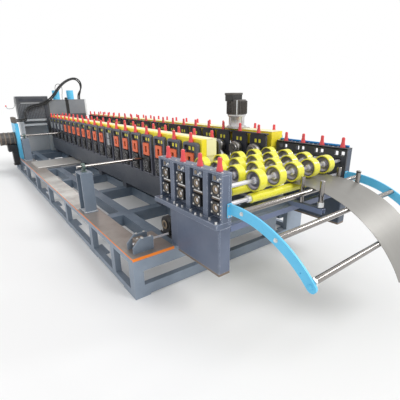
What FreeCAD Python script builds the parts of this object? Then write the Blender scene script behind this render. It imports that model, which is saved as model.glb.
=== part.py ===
import FreeCAD, Part
import math
import os

# Roll forming machine, in millimetres. While it is built, X runs across from the left side of the base,
# Y runs from the front of the base towards the far end, and Z is up from the floor. At the end every
# piece is moved so that the origin is in the middle of the machine, on the floor.

# Base frame
base_width = 2335
base_height = 405
base_margin = 40
pad_height = 15
pad_length = 260
pad_width = 150
rail_width = 60
side_rail_height = 58
side_post_width = 90
side_post_pitch = 1060
first_main_post = 1125
short_post = 480
front_rail_depth = 60
front_top_rail = 135
front_bottom_rail = 105
front_rail_end = 1842
front_posts = ((835, 935), (1675, 1842), (2048, 2275))
corner_post = 95
cross_beam_width = 130
cross_beam_height = 135
long_beam_width = 120

# Deck and bed plate on the base
deck_thickness = 8
deck_width = 225
deck_front_width = 415
deck_front_length = 430
trim_thickness = 3
trim_front_height = 27
trim_side_height = 10
bed_to_far_post = 1250
bed_depth = 710
bed_left = 85
bed_height = 45
bed_nose_radius = 14

# Pass line and strip
pass_height = 570
strip_thickness = 3
strip_width = 500
strip_end_angle = 64
rest_gap = 0.3

# Rows of roll stands
left_row_x = 885
rows_apart = 1300
row_width = 305
row_overhang = 140
row_beam_height = 287
row_beam_chamfer = 10
slide_height = 70
slide_inset = 10
stand_count = 20
stand_pitch = 320
first_stand = 390
stand_width = 255
stand_height = 503
stand_thickness = 38
stand_corner = 38
inner_stand_thickness = 26
cover_inner_gap = 50
cover_rise = 33
cover_depth = 168
cover_end_thickness = 10
adjuster_size = 148
adjuster_thickness = 10
adjuster_rise = 107
block_width = 170
block_height = 190
block_thickness = 14
block_drop = 79
tie_bar_height = 16
tie_bar_width = 40

# Forming rolls of the rows
form_roll_radius = 92
form_roll_length = 118
form_roll_sides = 6

# Screw covers
cap_base = 46
cap_top = 34
cap_height = 98

# Entry unit
entry_inner_left = 521
entry_width = 1514
entry_front = -650
entry_back = 230
entry_first = -570
entry_pitch = 232
entry_count = 4
entry_rise = 225
flange_drop = 190
flange_height = 45
flange_width = 141
flange_back = 255
flange_gap = 4
entry_box_width = 116
entry_box_back = -80
entry_box_height = 373
entry_box_chamfer = 8
entry_rim = 14
entry_rim_inset = 4
entry_leg_width = 80
entry_leg_back = 80
panel_depth = 91
web_thickness = 26
rib_width = 60
end_rib_width = 28
top_plate = 20
window_width = 44
window_height = 44
window_gap = 22
window_drop = 34
bearing_block_width = 100
bearing_block_height = 96
bearing_block_depth = 62
web_hole_gap = 7
cross_beam_rise = 155
cross_beam_back = 120
pipe_radius = 11
pipe_sides = 8
pipe_front = 30

# Rolls of the entry unit
roll_gap = 6
ring_radius = 87
ring_width = 80
ring_rim = 15
ring_recess = 24
ring_sides = 8
ring_pitch = 234
ring_count = 5
ring_start = 329
lower_roll_radius = 38
lower_roll_margin = 264
shaft_radius = 17
journal_gap = 0.05
shaft_sides = 10
lower_roll_sides = 16
shaft_end_gap = 8

# Feed table
arm_centre_y = -710
arm_radius = 920
arm_drop = 3.5
arm_width = 100
arm_thickness = 15
arm_inset = 16
arm_end_angle = 47.5
arm_flange_thickness = 12
arm_flange_height = 150
arm_flange_width = 60
bar_radius = 22
bar_sides = 16
bar_angles = (5.0, 25.5, 46.0)
guide_radius = 19
guide_sides = 12
guide_clearance = 6
guide_rise = 85
guide_length = 165
guide_nut_radius = 17
guide_nut_height = 63
guide_places = (-715, -897)
bracket_width = 50
bracket_height = 42
bracket_front = -930
bracket_wall = 6
guide_beam_front = -645
guide_beam_back = -600
guide_beam_height = 50

# Width adjustment
near_post_back = 340
far_post_gap = 260
post_x = 110
post_width = 137
post_depth = 200
post_plate = 20
post_height = 455
post_cap = 15
foot_plate = 10
foot_margin = 12
way_bar_radius = 17
way_bar_rise = 60
way_bar_left = 35
clamp_width = 52
clamp_depth = 84
clamp_sides = 12
gusset_x = 45
gusset_width = 200
gusset_height = 130
gusset_chamfer = 70
gusset_plate = 14
gusset_front = 70
gusset_spacing = 120
nut_block_x = 95
nut_block_width = 90
nut_block_height = 105
screw_radius = 11
screw_rise = 67
screw_overlap = 20
screw_sides = 10
bearing_x = 480
bearing_y = 250
bearing_rise = 115
bearing_radius = 82
bearing_width = 52
bearing_sides = 16
bearing_ring_radius = 48
bearing_ring_height = 10
bearing_foot_length = 220
bearing_foot_height = 24
bearing_riser_width = 116
stub_radius = 24

# Drive on the right row
motor_inset = 175
motor_y = 890
motor_radius = 158
motor_body_height = 186
motor_sides = 16
gearbox_radius = 124
gearbox_height = 148
gearbox_flange = 16
gearbox_flange_radius = 134
motor_plate = 12
motor_plate_left = 125
motor_plate_right = 128
motor_plate_depth = 224
terminal_width = 225
terminal_depth = 150
terminal_height = 82
terminal_left = 150

# Far end
far_gap = 190
far_depth = 260
housing_left = 228
housing_width = 724
housing_rise = 261
housing_height = 536
housing_leg = 90
housing_bar_drops = (58, 174)
housing_bar = 50
back_panel = 12
shear_gap = 6
shear_width = 912
shear_column = 78
shear_bed_drop = 50
shear_throat = 135
shear_head_height = 262
shear_cover_height = 360
shear_cover_gap = 82
cylinder_radius = 88
cylinder_spacing = 356
cylinder_offset = -42
cylinder_height = 230
cylinder_sides = 20
column_gap = 340
column_width = 70
column_depth = 560
column_rise = 785
column_head_height = 130
column_head_inset = 10
column_head_front = 120
side_motor_radius = 140
side_motor_length = 330
side_motor_rise = 445
side_motor_sides = 16

# Hoses between the column head and the cropping unit
hose_diameter = 26
short_hose_diameter = 12
hose_sides = 5
arc_share = 0.45
hose_exit_back = 340


def box(x0, x1, y0, y1, z0, z1):
    return Part.makeBox(x1 - x0, y1 - y0, z1 - z0, FreeCAD.Vector(x0, y0, z0))


def rod(start, axis, radius, length):
    return Part.makeCylinder(radius, length, FreeCAD.Vector(*start), FreeCAD.Vector(*axis))


def outline(points):
    vectors = [FreeCAD.Vector(*point) for point in points]
    return Part.makePolygon(vectors + vectors[:1])


def prism(points, direction):
    return Part.Face(outline(points)).extrude(FreeCAD.Vector(*direction))


def faceted_rod(start, axis, radius, length, sides):
    # a bar with flat sides, round enough for a piece that repeats; it lies on a flat side
    points = []
    for k in range(sides):
        turn = 2 * math.pi * (k + 0.5) / sides
        a = radius * math.cos(turn)
        b = radius * math.sin(turn)
        if axis == (1, 0, 0):
            points.append((start[0], start[1] + b, start[2] + a))
        elif axis == (0, 1, 0):
            points.append((start[0] + b, start[1], start[2] + a))
        else:
            points.append((start[0] + a, start[1] + b, start[2]))
    return prism(points, [length * part for part in axis])


def tapered_square(x, y, z, low, high, height):
    # a square peg that narrows upwards, as six flat faces
    base = [(x - low, y - low, z), (x + low, y - low, z), (x + low, y + low, z), (x - low, y + low, z)]
    top_z = z + height
    top = [(x - high, y - high, top_z), (x + high, y - high, top_z),
           (x + high, y + high, top_z), (x - high, y + high, top_z)]
    faces = [Part.Face(outline(base)), Part.Face(outline(top))]
    for k in range(4):
        after = (k + 1) % 4
        faces.append(Part.Face(outline([base[k], base[after], top[after], top[k]])))
    solid = Part.makeSolid(Part.makeShell(faces))
    if solid.Volume < 0:
        solid.reverse()
    return solid


def tube(name, route, diameter):
    # a hose: a section with flat sides, carried along straight runs joined by tangent arcs
    points = [FreeCAD.Vector(*point) for point in route]
    runs = [after - before for before, after in zip(points[:-1], points[1:])]
    heading = FreeCAD.Vector(runs[0]).normalize()
    side = heading.cross(FreeCAD.Vector(0.3, 0.5, 1)).normalize()
    corners = []
    for k in range(hose_sides):
        turned = FreeCAD.Rotation(heading, 360 * k / hose_sides).multVec(side)
        corners.append(points[0] + turned * (diameter / 2))
    section = Part.Face(Part.makePolygon(corners + corners[:1]))
    area = section.Area
    here = points[0]
    length = 0
    pieces = []
    radii = []
    for k in range(1, len(points) - 1):
        before = runs[k - 1]
        after = runs[k]
        turn = before.getAngle(after)
        setback = arc_share * min(before.Length, after.Length)
        bend = setback / math.tan(turn / 2)
        heading = FreeCAD.Vector(before).normalize()
        straight = (points[k] - here).Length - setback
        pieces.append(section.extrude(heading * straight))
        section = section.copy()
        section.translate(heading * straight)
        axis = before.cross(after).normalize()
        centre = points[k] - heading * setback + axis.cross(heading) * bend
        pieces.append(section.revolve(centre, axis, math.degrees(turn)))
        section = section.copy()
        section.rotate(centre, axis, math.degrees(turn))
        here = points[k] + FreeCAD.Vector(after).normalize() * setback
        length += straight + bend * turn
        radii.append(round(bend))
    last = points[-1] - here
    pieces.append(section.extrude(last))
    length += last.Length
    solid = pieces[0].fuse(pieces[1:]).removeSplitter()
    print(name, "diameter", diameter, "length", round(length), "radii", radii,
          "volume over section times length", round(solid.Volume / (area * length), 4))
    return solid


def edges_along(shape, axis):
    chosen = []
    for edge in shape.Edges:
        direction = edge.tangentAt(edge.FirstParameter)
        if abs(abs(direction.dot(FreeCAD.Vector(*axis))) - 1) < 1e-6:
            chosen.append(edge)
    return chosen


def mirrored(shape, middle):
    return shape.mirror(FreeCAD.Vector(middle, 0, 0), FreeCAD.Vector(1, 0, 0))


def moved(shape, x=0, y=0, z=0):
    copy = shape.copy()
    copy.translate(FreeCAD.Vector(x, y, z))
    return copy


# Places worked out from the sizes above
stand_places = [first_stand + k * stand_pitch for k in range(stand_count)]
entry_places = [entry_first + k * entry_pitch for k in range(entry_count)]
row_front = first_stand - row_overhang
row_back = stand_places[-1] + row_overhang
right_row_x = left_row_x + rows_apart
row_middle = (left_row_x + right_row_x) / 2
inner_face = left_row_x + row_width
far_front = row_back + far_gap
far_back = far_front + far_depth
base_length = far_back + base_margin
entry_inner_right = entry_inner_left + entry_width
entry_middle = (entry_inner_left + entry_inner_right) / 2
main_posts = int((base_length - corner_post - side_post_width - first_main_post) / side_post_pitch) + 1
main_post_places = [first_main_post + k * side_post_pitch for k in range(main_posts)]
rail_top = base_height - deck_thickness
pass_line = base_height + pass_height
strip_left = row_middle - strip_width / 2
strip_right = row_middle + strip_width / 2
strip_bottom = pass_line - strip_thickness / 2
strip_top = pass_line + strip_thickness / 2
row_beam_bottom = base_height + slide_height
row_beam_top = row_beam_bottom + row_beam_height
stand_top = row_beam_top + stand_height
cover_top = stand_top + cover_rise
upper_axis = strip_top + roll_gap + ring_radius
lower_axis = strip_bottom - roll_gap - lower_roll_radius
entry_top = pass_line + entry_rise
flange_bottom = pass_line - flange_drop
panel_bottom = flange_bottom + flange_height
web_left = entry_inner_left - web_thickness
panel_left = entry_inner_left - panel_depth
arm_centre_z = strip_top - arm_drop - arm_radius
arm_x = entry_inner_left - arm_inset - arm_thickness
column_y = far_front - column_gap - column_depth
far_post_station = column_y - far_post_gap
post_stations = (first_main_post + near_post_back, far_post_station)
bed_front = far_post_station - bed_to_far_post
post_bottom = base_height + foot_plate
post_top = post_bottom + post_height
way_bar_z = post_top + post_cap + way_bar_rise
shear_left = housing_left + housing_width + shear_gap
shear_right = shear_left + shear_width
shear_bed_top = pass_line - shear_bed_drop
shear_head_bottom = shear_bed_top + shear_throat
shear_head_top = shear_head_bottom + shear_head_height
motor_x = right_row_x - motor_inset


def base_side_rails():
    pieces = []
    for left in (0, base_width - rail_width):
        right = left + rail_width
        pieces.append(box(left, right, 0, base_length, rail_top - side_rail_height, rail_top))
        pieces.append(box(left, right, 0, base_length, pad_height, pad_height + side_rail_height))
    return pieces


def base_side_posts():
    low = pad_height + side_rail_height
    high = rail_top - side_rail_height
    half = side_post_width / 2
    pieces = []
    for left in (0, base_width - rail_width):
        for place in [short_post] + main_post_places:
            pieces.append(box(left, left + rail_width, place - half, place + half, low, high))
        for start in (0, base_length - corner_post):
            pieces.append(box(left, left + rail_width, start, start + corner_post, low, high))
    return pieces


def base_end_frames():
    # the front frame's top rail stops short of the last bay, which is open above
    pieces = []
    inner_left = rail_width
    inner_right = base_width - rail_width
    low = pad_height + front_bottom_rail
    high = rail_top - front_top_rail
    for start, rail_end in ((0, front_rail_end), (base_length - front_rail_depth, inner_right)):
        end = start + front_rail_depth
        pieces.append(box(inner_left, rail_end, start, end, high, rail_top))
        pieces.append(box(inner_left, inner_right, start, end, pad_height, low))
        pieces.append(box(inner_left, corner_post, start, end, low, high))
        for left, right in front_posts:
            top = high if right <= rail_end else rail_top
            pieces.append(box(left, right, start, end, low, top))
    return pieces


def base_cross_beams():
    half = cross_beam_width / 2
    low = rail_top - cross_beam_height
    return [box(rail_width, base_width - rail_width, place - half, place + half, low, rail_top)
            for place in main_post_places]


def base_long_beams():
    half = cross_beam_width / 2
    starts = [front_rail_depth] + [place + half for place in main_post_places]
    ends = [place - half for place in main_post_places] + [base_length - front_rail_depth]
    low = rail_top - cross_beam_height
    centres = (entry_inner_left - entry_leg_width, left_row_x + row_width / 2, right_row_x - row_width / 2)
    pieces = []
    for centre in centres:
        for start, end in zip(starts, ends):
            pieces.append(box(centre - long_beam_width / 2, centre + long_beam_width / 2, start, end,
                              low, rail_top))
    return pieces


def foot_pads():
    places = [0] + [place - pad_length / 2 for place in main_post_places] + [base_length - pad_length]
    return [box(left, left + pad_width, place, place + pad_length, 0, pad_height)
            for left in (0, base_width - pad_width) for place in places]


def deck_plate():
    corners = [
        (0, 0, rail_top),
        (deck_front_width, 0, rail_top),
        (deck_front_width, deck_front_length, rail_top),
        (deck_width, deck_front_length, rail_top),
        (deck_width, base_length, rail_top),
        (0, base_length, rail_top),
    ]
    return [prism(corners, (0, 0, deck_thickness))]


def edge_trim():
    front = box(0, deck_front_width, -trim_thickness, 0, base_height - trim_front_height, base_height)
    side = box(-trim_thickness, 0, 0, base_length, base_height - trim_side_height, base_height)
    return [front, side]


def bed_plate():
    top = base_height + bed_height
    plate = box(bed_left, inner_face, bed_front, bed_front + bed_depth, base_height, top)
    nose = rod((bed_left, bed_front, top - bed_nose_radius), (1, 0, 0), bed_nose_radius,
               inner_face - bed_left)
    return [plate.fuse(nose)]


def row_beams():
    beam = box(left_row_x, inner_face, row_front, row_back, row_beam_bottom, row_beam_top)
    beam = beam.makeChamfer(row_beam_chamfer, edges_along(beam, (0, 1, 0)))
    return [beam, mirrored(beam, row_middle)]


def row_slides():
    # those over the bed plate stand on it, the others on the cross beams
    half = cross_beam_width / 2
    left = left_row_x + slide_inset
    right = inner_face - slide_inset
    bed_back = bed_front + bed_depth
    bed_top = base_height + bed_height
    pieces = []
    left_slides = []
    for place in main_post_places:
        over_bed = bed_front - bed_nose_radius < place + half and place - half < bed_back
        low = bed_top if over_bed else rail_top
        left_slides.append(box(left, right, place - half, place + half, low, row_beam_bottom))
        slide = box(left, right, place - half, place + half, rail_top, row_beam_bottom)
        pieces.append(mirrored(slide, row_middle))
    middle = bed_front + bed_depth / 2
    left_slides.append(box(left, right, middle - half, middle + half, bed_top, row_beam_bottom))
    return pieces + left_slides[0].fuse(left_slides[1:]).removeSplitter().Solids


def outer_roll_stands():
    half = stand_width / 2
    corners = [
        (left_row_x, -half, row_beam_top),
        (left_row_x, half, row_beam_top),
        (left_row_x, half, stand_top - stand_corner),
        (left_row_x, half - stand_corner, stand_top),
        (left_row_x, stand_corner - half, stand_top),
        (left_row_x, -half, stand_top - stand_corner),
    ]
    stand = prism(corners, (stand_thickness, 0, 0))
    pieces = [moved(stand, y=place) for place in stand_places]
    return pieces + [mirrored(piece, row_middle) for piece in pieces]


def inner_roll_stands():
    half = stand_width / 2
    stand = box(inner_face - inner_stand_thickness, inner_face, -half, half, row_beam_top, stand_top)
    pieces = [moved(stand, y=place) for place in stand_places]
    return pieces + [mirrored(piece, row_middle) for piece in pieces]


def adjuster_plates():
    half = adjuster_size / 2
    middle = pass_line + adjuster_rise
    front = left_row_x - adjuster_thickness
    plate = box(front, left_row_x, -half, half, middle - half, middle + half)
    pieces = [moved(plate, y=place) for place in stand_places]
    return pieces + [mirrored(piece, row_middle) for piece in pieces]


def row_bearing_blocks():
    half = block_width / 2
    middle = pass_line - block_drop
    block = box(left_row_x - block_thickness, left_row_x, -half, half,
                middle - block_height / 2, middle + block_height / 2)
    pieces = [moved(block, y=place) for place in stand_places]
    return pieces + [mirrored(piece, row_middle) for piece in pieces]


def row_covers():
    # a hood over the gap between outer and inner stands, with an end plate down to the beam
    left = left_row_x + stand_thickness / 2 + cap_base / 2 + rest_gap
    right = inner_face - inner_stand_thickness - cover_inner_gap
    hood = box(left, right, row_front, row_back, cover_top - cover_depth, cover_top)
    cover = hood
    for start in (row_front - cover_end_thickness, row_back):
        end = start + cover_end_thickness
        cover = cover.fuse(box(left, right, start, end, cover_top - cover_depth, cover_top))
    cover = cover.removeSplitter()
    pieces = [cover]
    for start in (row_front, row_back - cover_end_thickness):
        pieces.append(box(left, right, start, start + cover_end_thickness, row_beam_top,
                          cover_top - cover_depth))
    return pieces + [mirrored(piece, row_middle) for piece in pieces]


def tie_bar():
    x = 2 * row_middle - inner_face + inner_stand_thickness / 2
    half = tie_bar_width / 2
    return [box(x - half, x + half, row_front, row_back, stand_top, stand_top + tie_bar_height)]


def screw_covers():
    low = cap_base / 2
    high = cap_top / 2
    outer_x = left_row_x + stand_thickness / 2
    inner_x = inner_face - inner_stand_thickness / 2
    pieces = []
    for x in (outer_x, inner_x):
        for place in stand_places:
            pieces.append(tapered_square(x, place, stand_top, low, high, cap_height))
            on_tie_bar = x == inner_x
            z = stand_top + tie_bar_height if on_tie_bar else stand_top
            pieces.append(tapered_square(2 * row_middle - x, place, z, low, high, cap_height))
    for x in (entry_inner_left - panel_depth / 2, entry_inner_right + panel_depth / 2):
        for place in entry_places:
            pieces.append(tapered_square(x, place, entry_top, low, high, cap_height))
    return pieces


def forming_rolls():
    low = strip_bottom - rest_gap - form_roll_radius
    high = strip_top + rest_gap + form_roll_radius
    pieces = []
    for place in stand_places:
        for z in (low, high):
            roll = faceted_rod((inner_face, place, z), (1, 0, 0), form_roll_radius, form_roll_length,
                               form_roll_sides)
            pieces.append(roll)
            pieces.append(mirrored(roll, row_middle))
    return pieces


def entry_stand(flange_end):
    # a ribbed channel with a thick web, on a flanged box that hangs in front of the base
    stand = box(web_left, entry_inner_left, entry_front, entry_back, panel_bottom, entry_top)
    stand = stand.fuse(box(panel_left, web_left, entry_front, entry_back, entry_top - top_plate, entry_top))
    ribs = [(entry_front, entry_front + end_rib_width), (entry_back - end_rib_width, entry_back)]
    for before, after in zip(entry_places[:-1], entry_places[1:]):
        middle = (before + after) / 2
        ribs.append((middle - rib_width / 2, middle + rib_width / 2))
    for start, end in ribs:
        stand = stand.fuse(box(panel_left, web_left, start, end, panel_bottom, entry_top - top_plate))
    window_top = entry_top - window_drop
    reach = shaft_radius + web_hole_gap
    for place in entry_places:
        for z in (upper_axis, lower_axis):
            stand = stand.cut(box(web_left - 1, entry_inner_left + 1, place - reach, place + reach,
                                  z - reach, z + reach))
        for side in (-1, 1):
            start = place + side * (window_gap + window_width) / 2 - window_width / 2
            stand = stand.cut(box(web_left - 1, entry_inner_left + 1, start, start + window_width,
                                  window_top - window_height, window_top))
    flange = box(entry_inner_left - flange_width, entry_inner_left, entry_front, flange_end,
                 flange_bottom, panel_bottom)
    box_left = entry_inner_left - entry_box_width
    box_bottom = flange_bottom - entry_box_height
    body = box(box_left, entry_inner_left, entry_front, entry_box_back, box_bottom, flange_bottom)
    body = body.makeChamfer(entry_box_chamfer, edges_along(body, (0, 0, 1)))
    rim = box(box_left + entry_rim_inset, entry_inner_left - entry_rim_inset, entry_front + entry_rim_inset,
              entry_box_back - entry_rim_inset, box_bottom - entry_rim, box_bottom)
    leg = box(entry_inner_left - entry_leg_width, entry_inner_left, entry_box_back, entry_leg_back,
              rail_top, flange_bottom)
    return stand.fuse([flange, body, rim, leg]).removeSplitter()


def entry_stands():
    right_flange_end = row_front - cover_end_thickness - flange_gap
    return [entry_stand(flange_back), mirrored(entry_stand(right_flange_end), entry_middle)]


def entry_bearing_blocks():
    half = bearing_block_width / 2
    left = web_left - bearing_block_depth
    bore_radius = (shaft_radius + journal_gap) / math.cos(math.pi / shaft_sides)
    pieces = []
    for place in entry_places:
        for z in (upper_axis, lower_axis):
            block = box(left, web_left, place - half, place + half,
                        z - bearing_block_height / 2, z + bearing_block_height / 2)
            block = block.cut(faceted_rod((left - 1, place, z), (1, 0, 0), bore_radius,
                                          bearing_block_depth + 2, shaft_sides))
            pieces.append(block)
            pieces.append(mirrored(block, entry_middle))
    return pieces


def entry_cross_beam():
    return [box(entry_inner_left, entry_inner_right, 0, cross_beam_back, rail_top,
                base_height + cross_beam_rise)]


def side_pipe():
    # lies along the top of the right stand, near its outer edge
    x = entry_inner_right + (panel_depth + cap_base) / 2 + pipe_radius + rest_gap
    y = entry_front + pipe_front
    flat = pipe_radius * math.cos(math.pi / pipe_sides)
    return [faceted_rod((x, y, entry_top + flat), (0, 1, 0), pipe_radius, entry_back - y, pipe_sides)]


def shaft_span():
    left = web_left - bearing_block_depth + shaft_end_gap
    return left, 2 * entry_middle - left


def upper_ring_roll(place):
    # five rings with dished sides on one shaft
    left, right = shaft_span()
    roll = faceted_rod((left, place, upper_axis), (1, 0, 0), shaft_radius, right - left, shaft_sides)
    rings = []
    for k in range(ring_count):
        start = entry_inner_left + ring_start + k * ring_pitch - ring_width / 2
        ring = faceted_rod((start, place, upper_axis), (1, 0, 0), ring_radius, ring_width, ring_sides)
        for dish in (start, start + ring_width - ring_recess):
            ring = ring.cut(faceted_rod((dish, place, upper_axis), (1, 0, 0), ring_radius - ring_rim,
                                        ring_recess, ring_sides))
        rings.append(ring)
    return roll.fuse(rings)


def lower_roll(place):
    left, right = shaft_span()
    start = entry_inner_left + lower_roll_margin
    end = entry_inner_right - lower_roll_margin
    roll = faceted_rod((left, place, lower_axis), (1, 0, 0), shaft_radius, right - left, shaft_sides)
    return roll.fuse(faceted_rod((start, place, lower_axis), (1, 0, 0), lower_roll_radius, end - start,
                                 lower_roll_sides))


def on_arc(radius, angle):
    turn = math.radians(angle)
    return arm_centre_y - radius * math.sin(turn), arm_centre_z + radius * math.cos(turn)


def arc_band(x, outer, inner, end_angle, thickness):
    corners = []
    for radius in (outer, inner):
        for angle in (0, end_angle / 2, end_angle):
            y, z = on_arc(radius, angle)
            corners.append(FreeCAD.Vector(x, y, z))
    edges = [
        Part.Arc(corners[0], corners[1], corners[2]).toShape(),
        Part.LineSegment(corners[2], corners[5]).toShape(),
        Part.Arc(corners[5], corners[4], corners[3]).toShape(),
        Part.LineSegment(corners[3], corners[0]).toShape(),
    ]
    return Part.Face(Part.Wire(edges)).extrude(FreeCAD.Vector(thickness, 0, 0))


def table_arms():
    band = arc_band(arm_x, arm_radius, arm_radius - arm_width, arm_end_angle, arm_thickness)
    flange_front_y = entry_front - arm_flange_thickness
    straight = box(arm_x, arm_x + arm_thickness, arm_centre_y, flange_front_y,
                   arm_centre_z + arm_radius - arm_width, arm_centre_z + arm_radius)
    end_y, end_z = on_arc(arm_radius - arm_width / 2, arm_end_angle)
    tip = rod((arm_x, end_y, end_z), (1, 0, 0), arm_width / 2, arm_thickness)
    flange_x = arm_x + arm_thickness / 2
    flange_z = arm_centre_z + arm_radius - arm_width / 2
    flange = box(flange_x - arm_flange_width / 2, flange_x + arm_flange_width / 2, flange_front_y,
                 entry_front, flange_z - arm_flange_height / 2, flange_z + arm_flange_height / 2)
    arm = band.fuse([straight, tip, flange]).removeSplitter()
    return [arm, mirrored(arm, entry_middle)]


def table_bars():
    # the bars lie just under the strip, square between the two arms
    left = arm_x + arm_thickness
    right = 2 * entry_middle - left
    under_strip = strip_bottom - rest_gap - bar_radius - arm_centre_z
    pieces = []
    for angle in bar_angles:
        y, z = on_arc(under_strip, angle)
        pieces.append(faceted_rod((left, y, z), (1, 0, 0), bar_radius, right - left, bar_sides))
    return pieces


def strip_run():
    return [box(strip_left, strip_right, arm_centre_y, far_back, strip_bottom, strip_top)]


def strip_lead():
    outer = strip_top - arm_centre_z
    inner = strip_bottom - arm_centre_z
    return [arc_band(strip_left, outer, inner, strip_end_angle, strip_width)]


guide_top = pass_line + guide_rise
guide_bottom = guide_top - guide_length
bracket_top = guide_bottom - guide_nut_height
bracket_bottom = bracket_top - bracket_height
guide_axes = (strip_left - guide_clearance - guide_radius, strip_right + guide_clearance + guide_radius)


def guide_brackets():
    half = bracket_width / 2
    pieces = [box(entry_inner_left, entry_inner_right, guide_beam_front, guide_beam_back,
                  bracket_bottom - guide_beam_height, bracket_bottom)]
    for x in guide_axes:
        channel = box(x - half, x + half, bracket_front, guide_beam_back, bracket_bottom, bracket_top)
        hollow = box(x - half + bracket_wall, x + half - bracket_wall, bracket_front - 1, guide_beam_front,
                     bracket_bottom - 1, bracket_top - bracket_wall)
        pieces.append(channel.cut(hollow))
    return pieces


def guide_posts():
    pieces = []
    for x in guide_axes:
        for y in guide_places:
            nut = faceted_rod((x, y, bracket_top), (0, 0, 1), guide_nut_radius, guide_nut_height, 6)
            roller = faceted_rod((x, y, guide_bottom), (0, 0, 1), guide_radius, guide_length, guide_sides)
            pieces.append(nut.fuse(roller))
    return pieces


def way_posts():
    # two flange plates and a web, under a cap plate and on a foot plate
    left = post_x - post_width / 2
    right = post_x + post_width / 2
    web = post_plate / 2
    pieces = []
    for place in post_stations:
        front = place - post_depth / 2
        back = place + post_depth / 2
        section = [
            (left, front), (right, front), (right, front + post_plate), (post_x + web, front + post_plate),
            (post_x + web, back - post_plate), (right, back - post_plate), (right, back), (left, back),
            (left, back - post_plate), (post_x - web, back - post_plate),
            (post_x - web, front + post_plate), (left, front + post_plate),
        ]
        post = prism([(x, y, post_bottom) for x, y in section], (0, 0, post_height))
        cap = box(left, right, front, back, post_top, post_top + post_cap)
        foot = box(left - foot_margin, right + foot_margin, front - foot_margin, back + foot_margin,
                   base_height, post_bottom)
        pieces.append(post.fuse([cap, foot]).removeSplitter())
    return pieces


def bar_clamps():
    low = post_top + post_cap
    x = post_x - clamp_width / 2
    radius = clamp_depth / 2 / math.cos(math.pi / clamp_sides)
    pieces = []
    for place in post_stations:
        block = box(x, x + clamp_width, place - clamp_depth / 2, place + clamp_depth / 2, low, way_bar_z)
        block = block.fuse(faceted_rod((x, place, way_bar_z), (1, 0, 0), radius, clamp_width, clamp_sides))
        block = block.cut(faceted_rod((x - 1, place, way_bar_z), (1, 0, 0), way_bar_radius + rest_gap,
                                      clamp_width + 2, bar_sides))
        pieces.append(block.removeSplitter())
    return pieces


def way_bars():
    return [faceted_rod((way_bar_left, place, way_bar_z), (1, 0, 0), way_bar_radius,
                        left_row_x - way_bar_left, bar_sides)
            for place in post_stations]


screw_y = gusset_front + (gusset_plate + gusset_spacing) / 2
screw_z = base_height + screw_rise


def deck_bracket():
    # two cheeks with a sloped corner and the nut block between them
    right = gusset_x + gusset_width
    top = base_height + gusset_height
    cheeks = []
    for start in (gusset_front, gusset_front + gusset_spacing):
        corners = [
            (gusset_x, start, base_height),
            (right, start, base_height),
            (right, start, top),
            (gusset_x + gusset_chamfer, start, top),
            (gusset_x, start, top - gusset_chamfer),
        ]
        cheeks.append(prism(corners, (0, gusset_plate, 0)))
    block = box(nut_block_x, nut_block_x + nut_block_width, gusset_front + gusset_plate,
                gusset_front + gusset_spacing, base_height, base_height + nut_block_height)
    hole = faceted_rod((nut_block_x - 1, screw_y, screw_z), (1, 0, 0), screw_radius + rest_gap,
                       nut_block_width + 2, screw_sides)
    return [cheeks[0].fuse([cheeks[1], block.cut(hole)]).removeSplitter()]


def width_screw():
    start = nut_block_x - screw_overlap
    end = entry_inner_left - entry_leg_width
    return [faceted_rod((start, screw_y, screw_z), (1, 0, 0), screw_radius, end - start, screw_sides)]


def shaft_bearing():
    z = base_height + bearing_rise
    half = bearing_foot_length / 2
    foot = box(bearing_x, bearing_x + bearing_width, bearing_y - half, bearing_y + half,
               rail_top, rail_top + bearing_foot_height)
    riser = box(bearing_x, bearing_x + bearing_width, bearing_y - bearing_riser_width / 2,
                bearing_y + bearing_riser_width / 2, rail_top + bearing_foot_height, z)
    ring = faceted_rod((bearing_x, bearing_y, z), (1, 0, 0), bearing_radius, bearing_width, bearing_sides)
    hub = faceted_rod((bearing_x - bearing_ring_height, bearing_y, z), (1, 0, 0), bearing_ring_radius,
                      bearing_ring_height, bearing_sides)
    stub = faceted_rod((bearing_x + bearing_width, bearing_y, z), (1, 0, 0), stub_radius,
                       left_row_x - bearing_x - bearing_width, bearing_sides)
    return [foot.fuse([riser, ring, hub, stub]).removeSplitter()]


def drive_gearbox():
    half = motor_plate_depth / 2
    plate = box(motor_x - motor_plate_left, motor_x + motor_plate_right, motor_y - half, motor_y + half,
                cover_top, cover_top + motor_plate)
    body = faceted_rod((motor_x, motor_y, cover_top + motor_plate), (0, 0, 1), gearbox_radius,
                       gearbox_height, motor_sides)
    flange = faceted_rod((motor_x, motor_y, cover_top + motor_plate + gearbox_height), (0, 0, 1),
                         gearbox_flange_radius, gearbox_flange, motor_sides)
    return [plate.fuse([body, flange])]


def drive_motor():
    low = cover_top + motor_plate + gearbox_height + gearbox_flange
    body = faceted_rod((motor_x, motor_y, low), (0, 0, 1), motor_radius, motor_body_height, motor_sides)
    half = terminal_depth / 2
    terminal = box(motor_x - terminal_left, motor_x - terminal_left + terminal_width, motor_y - half,
                   motor_y + half, low + motor_body_height, low + motor_body_height + terminal_height)
    return [body.fuse(terminal)]


housing_bottom = pass_line + housing_rise
housing_right = housing_left + housing_width


def far_housing():
    return [box(housing_left, housing_right, far_front, far_back, housing_bottom,
                housing_bottom + housing_height)]


def far_frame():
    pieces = []
    for x in (housing_left, housing_right - housing_leg):
        pieces.append(box(x, x + housing_leg, far_front, far_back, rail_top, housing_bottom))
    pieces.append(box(housing_left + housing_leg, housing_right - housing_leg, far_back - back_panel,
                      far_back, rail_top, housing_bottom))
    return pieces


def far_bars():
    pieces = []
    for drop in housing_bar_drops:
        z = housing_bottom - drop
        pieces.append(box(housing_left + housing_leg, housing_right - housing_leg, far_front,
                          far_front + housing_bar, z, z + housing_bar))
    return pieces


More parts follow.
